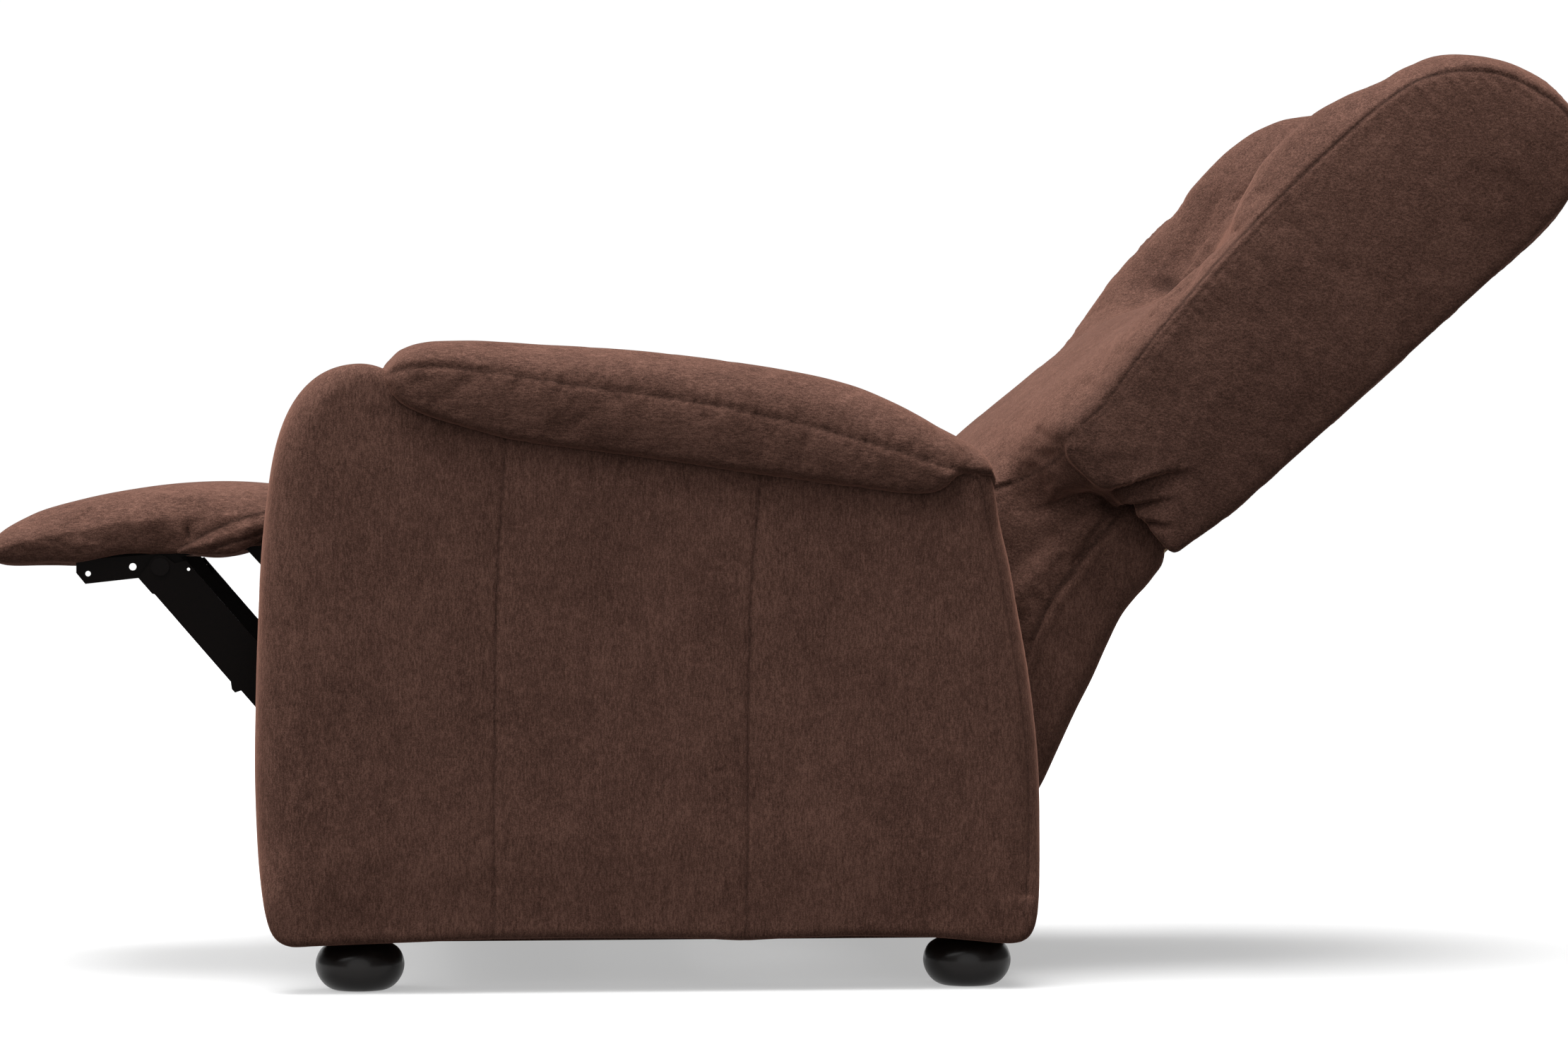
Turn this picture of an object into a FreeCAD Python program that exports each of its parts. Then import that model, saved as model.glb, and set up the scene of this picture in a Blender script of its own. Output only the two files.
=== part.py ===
# Reclining armchair, modelled fully reclined with the leg rest out.
# Millimetres. +Z up, the chair faces -Y, its left side is +X, floor at Z = 0.
# Every profile is drawn in the side plane as (y, z) and extruded across X.
import FreeCAD, Part
import math
import os
from FreeCAD import Vector as V

os.makedirs("parts", exist_ok=True)

# ---------------------------------------------------------------- driving sizes
LEG_TIP_Y = -793.44           # front edge of the leg rest, extended
FOOT_H = 47.0                 # bun foot height = underside of the arms
FOOT_R = 43.5
FOOT_X, FOOT_Y_FRONT, FOOT_Y_REAR = 305.0, -422.0, 178.0
ARM_IN, ARM_OUT = 256.0, 368.0            # arm thickness in X
ARM_FRAME_IN, ARM_FRAME_OUT = 296.0, 314.0
ARM_PAD_OUT, ARM_PAD_IN = 384.0, 250.0
SEAT_HALF = 248.0
PAD_HALF = 245.0                          # leg rest half width
BACK_HALF = 240.0                         # outer back panel half width
CUSHION_HALF = 236.0                      # back cushions between the wings
WING_IN, WING_OUT = 242.0, 305.0
# mechanism planes in X (each plate 4 mm)
RAIL_X = (244.0, 248.0)
DRIVE_X = (239.0, 243.0)
LINK_X = (233.0, 237.0)
BRACKET_X = (227.0, 231.0)
PIN_R, HOLE_R, HEAD_R = 5.0, 5.05, 9.0
LINK_HALF = 20.0                          # links are 40 mm wide
# pivots in the side plane (y, z)
PB = (-275.0, 330.0)                      # drive plate on the mechanism rail
PE = (-424.0, 187.0)                      # front link on the drive plate
PE2 = (-296.0, 187.0)                     # rear link on the drive plate
PU1 = (-620.0, 414.0)                     # leg rest bracket on the front link
PU2 = (-492.0, 414.0)                     # leg rest bracket on the rear link
PK = (150.0, 345.0)                       # back hinge
RECLINE = 42.0                            # back direction above the horizon

# ---------------------------------------------------------------- helpers
parts = {}


def prism(pts, x0, x1):
    """Closed polygon of (y, z) points, extruded from x0 to x1."""
    a, b = min(x0, x1), max(x0, x1)
    w = Part.makePolygon([V(a, y, z) for y, z in pts] + [V(a, *pts[0])])
    return Part.Face(w).extrude(V(b - a, 0, 0))


def box(x0, x1, y0, y1, z0, z1):
    return Part.makeBox(x1 - x0, y1 - y0, z1 - z0, V(x0, y0, z0))


def pin(p, x0, x1, r):
    """Cylinder along X at side-plane point p."""
    a, b = min(x0, x1), max(x0, x1)
    return Part.makeCylinder(r, b - a, V(a, p[0], p[1]), V(1, 0, 0))


def mirror(s):
    return s.mirror(V(0, 0, 0), V(1, 0, 0))


def compound(shapes):
    return Part.makeCompound(shapes)


def add(name, shape):
    parts[name] = shape


def pair(name, shape):
    """A left part on +X and its mirror image on -X."""
    add(name + "_left", shape)
    add(name + "_right", mirror(shape))


def group(name, shapes):
    """One node of separate solids, the given ones on +X and their mirror images."""
    add(name, compound(shapes + [mirror(s) for s in shapes]))


def bar(p, q, half, x0, x1, holes):
    """Flat link with round ends between p and q, with pivot holes."""
    dy, dz = q[0] - p[0], q[1] - p[1]
    ln = math.hypot(dy, dz)
    ny, nz = -dz / ln * half, dy / ln * half
    s = prism([(p[0] + ny, p[1] + nz), (q[0] + ny, q[1] + nz), (q[0] - ny, q[1] - nz), (p[0] - ny, p[1] - nz)], x0, x1)
    s = s.fuse([pin(p, x0, x1, half), pin(q, x0, x1, half)]).removeSplitter()
    for h in holes:
        s = s.cut(pin(h, x0 - 1, x1 + 1, HOLE_R))
    return s


def hull_plate(pts, half, x0, x1, holes):
    """Plate around a triangle of pivots with round corners."""
    s = prism(pts, x0, x1)
    for i in range(len(pts)):
        s = s.fuse(bar(pts[i], pts[(i + 1) % len(pts)], half, x0, x1, []))
    s = s.removeSplitter()
    for h in holes:
        s = s.cut(pin(h, x0 - 1, x1 + 1, HOLE_R))
    return s


def uv(u, v):
    """Back frame to side plane: u runs up the back from its hinge, v towards the sitter."""
    a = math.radians(RECLINE)
    return (PK[0] + u * math.cos(a) - v * math.sin(a), PK[1] + u * math.sin(a) + v * math.cos(a))


def uvs(pts):
    return [uv(u, v) for u, v in pts]


def rivet(p, x_in, x_out, clear=0.3):
    """Pivot pin through plates that fill x_in to x_out, with a head at each side."""
    s = pin(p, x_in - clear, x_out + clear, PIN_R)
    s = s.fuse([pin(p, x_in - clear - 1.4, x_in - clear, HEAD_R), pin(p, x_out + clear, x_out + clear + 1.4, HEAD_R)])
    return s.removeSplitter()


# ---------------------------------------------------------------- arms
ARM_SIDE = [
    (-519, 47), (-523, 73), (-526, 136), (-526, 206), (-524, 276), (-521, 346), (-519, 416), (-513, 472), (-506, 521),
    (-496, 556), (-482, 582), (-464, 600), (-443, 610), (-418, 613), (-397, 609), (-388, 601), (-289, 594), (-149, 580),
    (-9, 559), (96, 534), (166, 508), (204, 493), (213, 455), (222, 416), (239, 311), (246, 241), (250, 185), (251, 136),
    (248, 80), (240, 47),
]
FRAME_SIDE = [
    (-495, 47), (-500, 140), (-500, 270), (-495, 420), (-480, 520), (-450, 575), (-410, 580), (-290, 570), (-150, 556),
    (-10, 535), (95, 510), (180, 475), (200, 415), (217, 310), (227, 185), (226, 80), (222, 47),
]
frame = prism(FRAME_SIDE, ARM_FRAME_IN, ARM_FRAME_OUT)
for fy in (FOOT_Y_FRONT, FOOT_Y_REAR):
    frame = frame.cut(Part.makeCylinder(4.05, 34, V(FOOT_X, fy, FOOT_H - 1), V(0, 0, 1)))
pair("arm_frame", frame)
outer = prism(ARM_SIDE, ARM_FRAME_OUT, ARM_OUT).fuse(
    prism(ARM_SIDE, ARM_FRAME_IN, ARM_FRAME_OUT).cut(prism(FRAME_SIDE, ARM_FRAME_IN - 1, ARM_FRAME_OUT + 1))
).removeSplitter()
pair("outer_arm_padding", outer)
inner_side = prism(ARM_SIDE, ARM_IN, ARM_FRAME_IN).common(box(0, 500, -600, 400, 370, 700))
pair("inner_arm_padding", inner_side)

PAD_TOP = [(-404, 604), (-394, 617), (-377, 628), (-359, 635), (-317, 637), (-233, 633), (-149, 629), (-65, 619), (19, 605), (61, 594), (103, 576), (145, 554), (173, 540), (197, 525), (204, 510)]
PAD_BED = [(204, 493.3), (166, 508.3), (96, 534.3), (-9, 559.3), (-149, 580.3), (-289, 594.3), (-388, 601.3)]
arm_pad = prism(PAD_TOP + PAD_BED, ARM_PAD_IN, ARM_PAD_OUT)
LIP = [(-400, 602), (-388, 601.3), (-289, 594.3), (-149, 580.3), (-9, 559.3), (96, 534.3), (166, 508.3), (186, 500), (178, 494), (156, 489), (124, 488), (61, 492), (-9, 498), (-114, 510), (-219, 524), (-317, 542), (-359, 557), (-387, 573), (-402, 594)]
arm_pad = arm_pad.cut(prism(ARM_SIDE, ARM_IN, ARM_OUT))
arm_pad = arm_pad.fuse(prism(LIP, ARM_OUT + 0.3, ARM_PAD_OUT)).removeSplitter()
pair("armrest_pad", arm_pad)

# ---------------------------------------------------------------- feet
prof = [(0, 0), (25, 0), (31, 2.5), (38, 9), (42.5, 18), (43.5, 25), (42, 33), (37.5, 40.5), (31, 45), (27, 47), (0, 47)]
arc = Part.BSplineCurve()
arc.interpolate([V(r, 0, z) for r, z in prof[1:-1]])
w = Part.Wire([Part.makeLine(V(0, 0, 0), V(25, 0, 0)), arc.toShape(), Part.makeLine(V(27, 0, 47), V(0, 0, 47)), Part.makeLine(V(0, 0, 47), V(0, 0, 0))])
bun = Part.Face(w).revolve(V(0, 0, 0), V(0, 0, 1), 360)
bun = bun.cut(Part.makeCylinder(4.05, 30, V(0, 0, FOOT_H - 27), V(0, 0, 1)))
bolts = []
for label, fy in (("front", FOOT_Y_FRONT), ("rear", FOOT_Y_REAR)):
    b = bun.copy()
    b.translate(V(FOOT_X, fy, 0))
    pair("bun_foot_" + label, b)
    bolts.append(Part.makeCylinder(4.0, 58, V(FOOT_X, fy, FOOT_H - 26), V(0, 0, 1)))
group("foot_bolts", bolts)

# ---------------------------------------------------------------- base frame
add("front_base_rail", box(-ARM_FRAME_IN, ARM_FRAME_IN, -400, -378, 60, 125))
add("rear_base_rail", box(-ARM_FRAME_IN, ARM_FRAME_IN, 216, 238, 60, 130).cut(box(-400, 400, 237.9, 260, 50, 140)))
sill = box(252, ARM_FRAME_IN, -330, 190, 312, 366)
RAIL_BOLTS = [(-60.0, 345.0), (60.0, 347.0)]
for p in RAIL_BOLTS:
    sill = sill.cut(pin(p, 251, 286, 4.05))
pair("side_sill", sill)

# ---------------------------------------------------------------- mechanism, fixed
RAIL_SIDE = [(-297, 330), (-297, 377), (45, 377), (60, 367), (150, 367), (172, 345), (150, 323), (-60, 326), (-225, 323), (-275, 308)]
rail = prism(RAIL_SIDE, *RAIL_X).fuse([pin(PB, *RAIL_X, 22), pin(PK, *RAIL_X, 22)])
rail = rail.fuse(box(190, RAIL_X[0], -290, 40, 374, 377)).removeSplitter()
for p in (PB, PK):
    rail = rail.cut(pin(p, RAIL_X[0] - 1, RAIL_X[1] + 1, HOLE_R))
for p in RAIL_BOLTS:
    rail = rail.cut(pin(p, RAIL_X[0] - 1, RAIL_X[1] + 1, 4.05))
pair("mechanism_rail", rail)
spacers, rail_bolts = [], []
for p in RAIL_BOLTS:
    spacers.append(pin(p, RAIL_X[1], 252, 10).cut(pin(p, RAIL_X[1] - 1, 253, 4.05)))
    rail_bolts.append(pin(p, RAIL_X[0] - 3.5, 285, 4.0).fuse(pin(p, RAIL_X[0] - 4.0, RAIL_X[0], 7.0)).removeSplitter())
group("rail_spacers", spacers)
group("rail_pivot_pins", [rivet(PB, DRIVE_X[0], RAIL_X[1]), rivet(PK, DRIVE_X[0], RAIL_X[1])])

# ---------------------------------------------------------------- seat
pair("seat_side_rail", box(182, 222, -440, 40, 378, 400))
add("seat_front_rail", box(-182, 182, -440, -400, 378, 400))
add("seat_rear_rail", box(-182, 182, 0, 40, 378, 400))
straps = [box(-218, 218, y - 25, y + 25, 400, 402) for y in (-400, -322, -244, -166, -88, -10)]
add("seat_webbing", compound(straps))
SEAT_SIDE = [
    (-452, 402.3), (-460, 412), (-462, 440), (-458, 470), (-446, 488), (-424, 496), (-380, 497), (-300, 491), (-200, 480), (-100, 465),
    (0, 447), (36, 438), (50, 425), (56, 402.3),
]
add("seat_cushion", prism(SEAT_SIDE, -SEAT_HALF, SEAT_HALF))

# ---------------------------------------------------------------- leg rest linkage
TUBE = (PB[0] - 85.0, PB[1] - 146.0)
drive = hull_plate([PB, PE, PE2], LINK_HALF, *DRIVE_X, [PB, PE, PE2])
pair("drive_plate", drive)
tube = box(-DRIVE_X[0], DRIVE_X[0], TUBE[0] - 12.5, TUBE[0] + 12.5, TUBE[1] - 12.5, TUBE[1] + 12.5)
tube = tube.cut(box(-DRIVE_X[0] - 1, DRIVE_X[0] + 1, TUBE[0] - 10.5, TUBE[0] + 10.5, TUBE[1] - 10.5, TUBE[1] + 10.5))
add("torque_tube", tube)


def leg_link(p, q, tip):
    """Link from p to q that narrows to radius tip at q."""
    dy, dz = q[0] - p[0], q[1] - p[1]
    ln = math.hypot(dy, dz)
    dy, dz = dy / ln, dz / ln
    ny, nz = -dz, dy
    m = (q[0] - dy * 34.0, q[1] - dz * 34.0)
    s = prism([(p[0] + ny * LINK_HALF, p[1] + nz * LINK_HALF), (m[0] + ny * LINK_HALF, m[1] + nz * LINK_HALF), (q[0] + ny * tip, q[1] + nz * tip),
               (q[0] - ny * tip, q[1] - nz * tip), (m[0] - ny * LINK_HALF, m[1] - nz * LINK_HALF), (p[0] - ny * LINK_HALF, p[1] - nz * LINK_HALF)], *LINK_X)
    s = s.fuse([pin(p, *LINK_X, LINK_HALF), pin(q, *LINK_X, tip)]).removeSplitter()
    return s.cut(pin(p, LINK_X[0] - 1, LINK_X[1] + 1, HOLE_R)).cut(pin(q, LINK_X[0] - 1, LINK_X[1] + 1, HOLE_R))


# The front link is a wide plate: it grows on its upper side between its two pivots.
front = leg_link(PE, PU1, 11.5)
tl = math.hypot(PE[0] - PU1[0], PE[1] - PU1[1])
ty, tz = (PE[0] - PU1[0]) / tl, (PE[1] - PU1[1]) / tl


def on_link(s, n):
    """Point at distance s from the upper pivot along the front link and n to its upper side."""
    return (PU1[0] + s * ty - n * tz, PU1[1] + s * tz + n * ty)


front = front.fuse(prism([on_link(10, -10), on_link(4, 8), on_link(12, 23.5), on_link(214, 23.5), on_link(250, 16), on_link(250, -10)], *LINK_X)).removeSplitter()
front = front.fuse(prism([on_link(-6, -23.5), on_link(-9, -8), on_link(-9, 4), on_link(4, 8), on_link(14, 2), on_link(17, -22), on_link(15, -23.5)], *LINK_X)).removeSplitter()
front = front.fuse(prism([on_link(10, -12), on_link(15, -22), on_link(132, -22), on_link(138, -26), on_link(143, -26), on_link(145, -21), on_link(148, -12)], *LINK_X)).removeSplitter()
for p in (PE, PU1):
    front = front.cut(pin(p, LINK_X[0] - 1, LINK_X[1] + 1, HOLE_R))
STOP = (-592.0, 411.6)                    # stop rivet on the front link
front = front.cut(pin(STOP, LINK_X[0] - 1, LINK_X[1] + 1, 1.0))
pair("front_link", front)
pair("rear_link", leg_link(PE2, PU2, 15.0))
stop = pin(STOP, LINK_X[0], LINK_X[1] + 0.2, 0.98).fuse(pin(STOP, LINK_X[1], LINK_X[1] + 1.0, 1.6)).removeSplitter()
# E pins join drive plates (outside) and links (inside), with the 2 mm gap between them.
group("front_link_pins", [rivet(PE, LINK_X[0], DRIVE_X[1])])
group("rear_link_pins", [rivet(PE2, LINK_X[0], DRIVE_X[1])])
# U pins join links (outside) and leg rest brackets (inside).
group("leg_rest_front_pins", [rivet(PU1, BRACKET_X[0], LINK_X[1]), stop])
group("leg_rest_rear_pins", [rivet(PU2, BRACKET_X[0], LINK_X[1])])

# ---------------------------------------------------------------- leg rest
PAD_SIDE = [
    (LEG_TIP_Y, 425), (-786, 438), (-778, 448), (-758, 460), (-737, 468.5), (-695, 480.5), (-653, 489), (-611, 495), (-569, 498),
    (-527, 497), (-492, 494), (-483, 486), (-482, 470), (-482, 450), (-486, 440), (-499, 437.5), (-519, 434), (-611, 424), (-702, 417), (-737, 414), (-770, 412), (-785, 416),
]
BOARD = [(-740, 417.5), (-500, 436.5), (-500, 448.5), (-740, 429.5)]
leg_pad = prism(PAD_SIDE, -PAD_HALF, PAD_HALF)
leg_pad = leg_pad.cut(prism([(-740.3, 380), (-499.7, 380), (-499.7, 448.8), (-740.3, 429.8)], -240.3, 240.3))
add("leg_rest_pad", leg_pad)
add("leg_rest_board", prism(BOARD, -226, 226))


def board_under(y):
    return 417.5 + (y + 740.0) / 240.0 * 19.0


def board_top(y):
    return board_under(y) + 12.0


# The bracket runs under the front of the board, then as a narrower neck beside the board's edge, and drops to the rear pivot.
BRACKET = [
    (-703, board_under(-703)), (-703, 408), (-694, 397), (-640, 403), (-592, 400), (-586, 401.5), (-588, 407), (-600, 424), (-579.5, 426.8), (-563, 427), (-550, 428.5), (-537, 433.5),
    (-519.2, 414.1), (-512, 404), (-500, 397.5), (-486, 397), (-477, 402), (-474, 412), (-474, 424), (-484, 432), (-499.9, 434.5), (-502, board_top(-502) - 2.0),
    (-615, board_top(-615) - 2.0), (-625, board_under(-625)),
]
bracket = prism(BRACKET, *BRACKET_X)
flange = prism([(-690, board_under(-690) - 3.0), (-515, board_under(-515) - 3.0), (-515, board_under(-515)), (-690, board_under(-690))], 200, BRACKET_X[0])
bracket = bracket.fuse(flange).removeSplitter()
for p in (PU1, PU2):
    bracket = bracket.cut(pin(p, BRACKET_X[0] - 1, BRACKET_X[1] + 1, HOLE_R))
RIVETS = [(-691.2, 407.2, 1.7), (-647.2, 414.0, 2.6)]
for y, z, r in RIVETS:
    bracket = bracket.cut(pin((y, z), BRACKET_X[0] - 1, BRACKET_X[1] + 1, r))
pair("leg_rest_bracket", bracket)
rv = []
for y, z, r in RIVETS:
    s = pin((y, z), BRACKET_X[0] - 1.0, BRACKET_X[1] + 1.0, r - 0.02)
    rv.append(s.fuse([pin((y, z), BRACKET_X[1], BRACKET_X[1] + 1.2, r + 1.0), pin((y, z), BRACKET_X[0] - 1.2, BRACKET_X[0], r + 1.0)]).removeSplitter())
group("bracket_rivets", rv)

# ---------------------------------------------------------------- back
pair("back_post", prism(uvs([(48, -98), (48, -62), (745, -62), (745, -98)]), 206, 239))
for nm, u0, u1 in (("back_bottom_rail", 222, 262), ("back_middle_rail", 450, 490), ("back_top_rail", 705, 745)):
    add(nm, prism(uvs([(u0, -98), (u0, -62), (u1, -62), (u1, -98)]), -206, 206))
add("back_webbing", compound([prism(uvs([(u, -62), (u, -60), (u + 50, -60), (u + 50, -62)]), -236, 236) for u in (280, 345, 410, 505, 570, 635)]))
add("outer_back_panel", prism(uvs([(226, -104), (226, -98), (752, -98), (752, -104)]), -BACK_HALF, BACK_HALF))
ARC = [(88 * math.cos(math.radians(a)), 88 * math.sin(math.radians(a))) for a in range(90, 219, 8)]
LUMBAR = ARC + [(-66, -57), (214, -57), (220, -59.5), (511.8, -59.5), (511.8, 66), (500, 69), (454, 79), (383, 91), (320, 100), (254, 107), (150, 108), (60, 98)]
add("lumbar_cushion", prism(uvs(LUMBAR), -CUSHION_HALF, CUSHION_HALF))
HEAD = [
    (512.2, -59.5), (746, -59.5), (746, -98), (753, -98), (753, -103), (770, -98), (792, -82), (804, -60), (811, -36), (812, -8), (806, 22), (793, 52), (770, 78), (735, 98), (690, 109), (655, 111), (627, 107),
    (581, 95), (555, 84), (530, 72), (512.2, 66),
]
add("head_cushion", prism(uvs(HEAD), -CUSHION_HALF, CUSHION_HALF))
WING = [
    (221, -92), (221, 44), (240, 64), (317, 86), (410, 100), (497, 107), (612, 111), (690, 106), (735, 93), (770, 71), (793, 43), (806, 12), (811, -20), (808, -48), (797, -74), (776, -94),
    (752, -104), (232, -104),
]
pair("back_wing", prism(uvs(WING), WING_IN, WING_OUT))
hb = hull_plate([PK, uv(70, -80), uv(190, -80)], 16, *DRIVE_X, [])
hb = hb.fuse(pin(PK, *DRIVE_X, 22)).removeSplitter().cut(pin(PK, DRIVE_X[0] - 1, DRIVE_X[1] + 1, HOLE_R))
BACK_BOLTS = [uv(80, -80), uv(185, -80)]
for p in BACK_BOLTS:
    hb = hb.cut(pin(p, DRIVE_X[0] - 1, DRIVE_X[1] + 1, 4.05))
pair("back_hinge_bracket", hb)

# ---------------------------------------------------------------- rear skirt, loose fabric between back and base
SK = [uv(224, -103.6), (366, 397), (341, 367), (324, 336), (309, 303), (293, 271), (277, 234), (264, 204), (251, 172), (246, 130), (246, 66)]
inner = [(238.3, 66), (238.3, 130), (246, 174), (260, 206), (273, 236), (289, 273), (305, 305), (320, 338), (337, 369.5), (362, 399.5), uv(224, -98.8)]
add("rear_skirt", prism(SK + inner, -BACK_HALF, BACK_HALF))

# ---------------------------------------------------------------- fasteners that sit in wood
screws = []
for p in BACK_BOLTS:
    s = pin(p, 212, DRIVE_X[1] + 0.2, 4.0).fuse(pin(p, DRIVE_X[1], DRIVE_X[1] + 0.8, 7.5)).removeSplitter()
    screws.append(s)
for side in ("left", "right"):
    post = parts["back_post_" + side]
    for p in BACK_BOLTS:
        post = post.cut(pin(p, 211, 240, 4.05) if side == "left" else mirror(pin(p, 211, 240, 4.05)))
    parts["back_post_" + side] = post
    r = parts["seat_side_rail_" + side]
    m = parts["mechanism_rail_" + side]
    for y in (-260, -120, 10):
        hole = Part.makeCylinder(2.45, 30, V(202, y, 365), V(0, 0, 1))
        hole = hole if side == "left" else mirror(hole)
        r = r.cut(hole)
        m = m.cut(hole)
    parts["seat_side_rail_" + side] = r
    parts["mechanism_rail_" + side] = m
seat_screws = []
for y in (-260, -120, 10):
    s = Part.makeCylinder(2.4, 22, V(202, y, 372), V(0, 0, 1)).fuse(Part.makeCylinder(5.5, 3, V(202, y, 371), V(0, 0, 1))).removeSplitter()
    seat_screws.append(s)
group("back_bracket_bolts", screws)
group("rail_fasteners", rail_bolts + seat_screws)

# ---------------------------------------------------------------- export
import glob
for old in glob.glob("parts/*.step"):
    os.remove(old)
lo = [1e9] * 3
hi = [-1e9] * 3
for name in sorted(parts):
    s = parts[name]
    if not s.isValid():
        print("INVALID", name)
    for sol in s.Solids:
        if sol.Volume <= 0:
            print("NEGATIVE", name, sol.Volume)
    bb = s.BoundBox
    lo = [min(lo[0], bb.XMin), min(lo[1], bb.YMin), min(lo[2], bb.ZMin)]
    hi = [max(hi[0], bb.XMax), max(hi[1], bb.YMax), max(hi[2], bb.ZMax)]
    s.exportStep("parts/%s.step" % name)
print(len(parts), "nodes", [round(v, 2) for v in lo], [round(v, 2) for v in hi], "y centre", round((lo[1] + hi[1]) / 2, 3))
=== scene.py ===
# Looks of the reclining armchair: upholstery, wood, steel, floor, light and camera.
# Metres, +Z up, the chair faces -Y, its left side is +X.
import math
import bpy
import numpy as np
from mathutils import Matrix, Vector, kdtree


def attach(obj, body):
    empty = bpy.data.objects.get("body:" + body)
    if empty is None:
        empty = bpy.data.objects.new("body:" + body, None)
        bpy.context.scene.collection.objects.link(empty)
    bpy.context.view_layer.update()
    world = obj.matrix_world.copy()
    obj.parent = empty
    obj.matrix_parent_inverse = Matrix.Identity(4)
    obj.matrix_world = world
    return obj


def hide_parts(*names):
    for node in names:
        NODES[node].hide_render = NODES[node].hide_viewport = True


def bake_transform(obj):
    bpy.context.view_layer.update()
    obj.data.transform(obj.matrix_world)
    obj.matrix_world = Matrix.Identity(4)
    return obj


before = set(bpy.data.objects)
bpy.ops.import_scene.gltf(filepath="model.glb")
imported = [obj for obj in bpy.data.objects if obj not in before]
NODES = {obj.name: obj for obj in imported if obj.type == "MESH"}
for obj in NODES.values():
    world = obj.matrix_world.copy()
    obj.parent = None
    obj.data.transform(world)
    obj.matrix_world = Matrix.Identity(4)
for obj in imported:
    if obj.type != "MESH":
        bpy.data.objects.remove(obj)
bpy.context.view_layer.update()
SCENE = bpy.context.scene

# ------------------------------------------------------------------ numbers and curves


def smoothstep(a, b, t):
    t = np.clip((t - a) / (b - a), 0.0, 1.0)
    return t * t * (3.0 - 2.0 * t)


def smax(a, b, k):
    """Smooth maximum: rounds the edge between two surfaces with a radius of about k."""
    h = np.clip(0.5 + 0.5 * (a - b) / k, 0.0, 1.0)
    return b + (a - b) * h + k * h * (1.0 - h)


def smin(a, b, k):
    return -smax(-a, -b, k)


def curve(pts, x):
    """Smooth single-valued curve through the points (cubic Hermite with limited slopes)."""
    p = np.array(pts, float)
    px, py = p[:, 0], p[:, 1]
    d = np.diff(py) / np.diff(px)
    m = np.empty(len(px))
    m[0], m[-1] = d[0], d[-1]
    m[1:-1] = np.where(d[:-1] * d[1:] > 0, 2.0 * d[:-1] * d[1:] / (d[:-1] + d[1:] + 1e-30), 0.0)
    x = np.asarray(x, float)
    xc = np.clip(x, px[0], px[-1])
    i = np.clip(np.searchsorted(px, xc) - 1, 0, len(px) - 2)
    h = px[i + 1] - px[i]
    t = (xc - px[i]) / h
    t2, t3 = t * t, t * t * t
    return (2 * t3 - 3 * t2 + 1) * py[i] + (t3 - 2 * t2 + t) * h * m[i] + (-2 * t3 + 3 * t2) * py[i + 1] + (t3 - t2) * h * m[i + 1]


def smooth_loop(pts, step=0.004, rounds=2):
    """Closed outline through the points, evenly resampled and eased."""
    p = np.array(pts, float)
    n = len(p)
    out = []
    for i in range(n):
        a, b, c, d = p[i - 1], p[i], p[(i + 1) % n], p[(i + 2) % n]
        for t in np.linspace(0, 1, 12, endpoint=False):
            out.append(0.5 * ((2 * b) + (c - a) * t + (2 * a - 5 * b + 4 * c - d) * t * t + (3 * b - a - 3 * c + d) * t ** 3))
    q = np.array(out)
    seg = np.linalg.norm(np.roll(q, -1, 0) - q, axis=1)
    s = np.concatenate([[0], np.cumsum(seg)])
    m = max(16, int(s[-1] / step))
    u = np.linspace(0, s[-1], m, endpoint=False)
    qq = np.vstack([q, q[:1]])
    r = np.stack([np.interp(u, s, qq[:, k]) for k in (0, 1)], 1)
    for _ in range(rounds):
        r = 0.25 * np.roll(r, 1, 0) + 0.5 * r + 0.25 * np.roll(r, -1, 0)
    return r


def resample(pts, step=0.004):
    p = np.array(pts, float)
    s = np.concatenate([[0], np.cumsum(np.linalg.norm(np.diff(p, axis=0), axis=1))])
    u = np.linspace(0, s[-1], max(2, int(s[-1] / step)))
    return np.stack([np.interp(u, s, p[:, k]) for k in range(p.shape[1])], 1)


def seg_dist(P, Q, a, b):
    """Distance from the points (P, Q) to the segment a-b, and the place along it."""
    dx, dy = b[0] - a[0], b[1] - a[1]
    L = dx * dx + dy * dy + 1e-18
    t = np.clip(((P - a[0]) * dx + (Q - a[1]) * dy) / L, 0.0, 1.0)
    return np.hypot(P - (a[0] + t * dx), Q - (a[1] + t * dy)), t


def line_dist(P, Q, pts):
    """Distance to an open polyline, and the arc length of the nearest place on it."""
    best = np.full(np.broadcast(P, Q).shape, 1e9)
    arc = np.zeros(best.shape)
    s = 0.0
    for a, b in zip(pts[:-1], pts[1:]):
        d, t = seg_dist(P, Q, a, b)
        L = math.hypot(b[0] - a[0], b[1] - a[1])
        m = d < best
        best = np.where(m, d, best)
        arc = np.where(m, s + t * L, arc)
        s += L
    return best, arc


def loop_sdf(P, Q, loop):
    """Signed distance to a closed outline, negative inside, on arrays of points."""
    P, Q = np.broadcast_arrays(P, Q)
    best = np.full(P.shape, 1e9)
    inside = np.zeros(P.shape, bool)
    n = len(loop)
    for i in range(n):
        a, b = loop[i], loop[(i + 1) % n]
        d, _ = seg_dist(P, Q, a, b)
        best = np.minimum(best, d)
        cond = (a[1] > Q) != (b[1] > Q)
        xs = (b[0] - a[0]) * (Q - a[1]) / (b[1] - a[1] + 1e-18) + a[0]
        inside ^= cond & (P < xs)
    return np.where(inside, -best, best)


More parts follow.
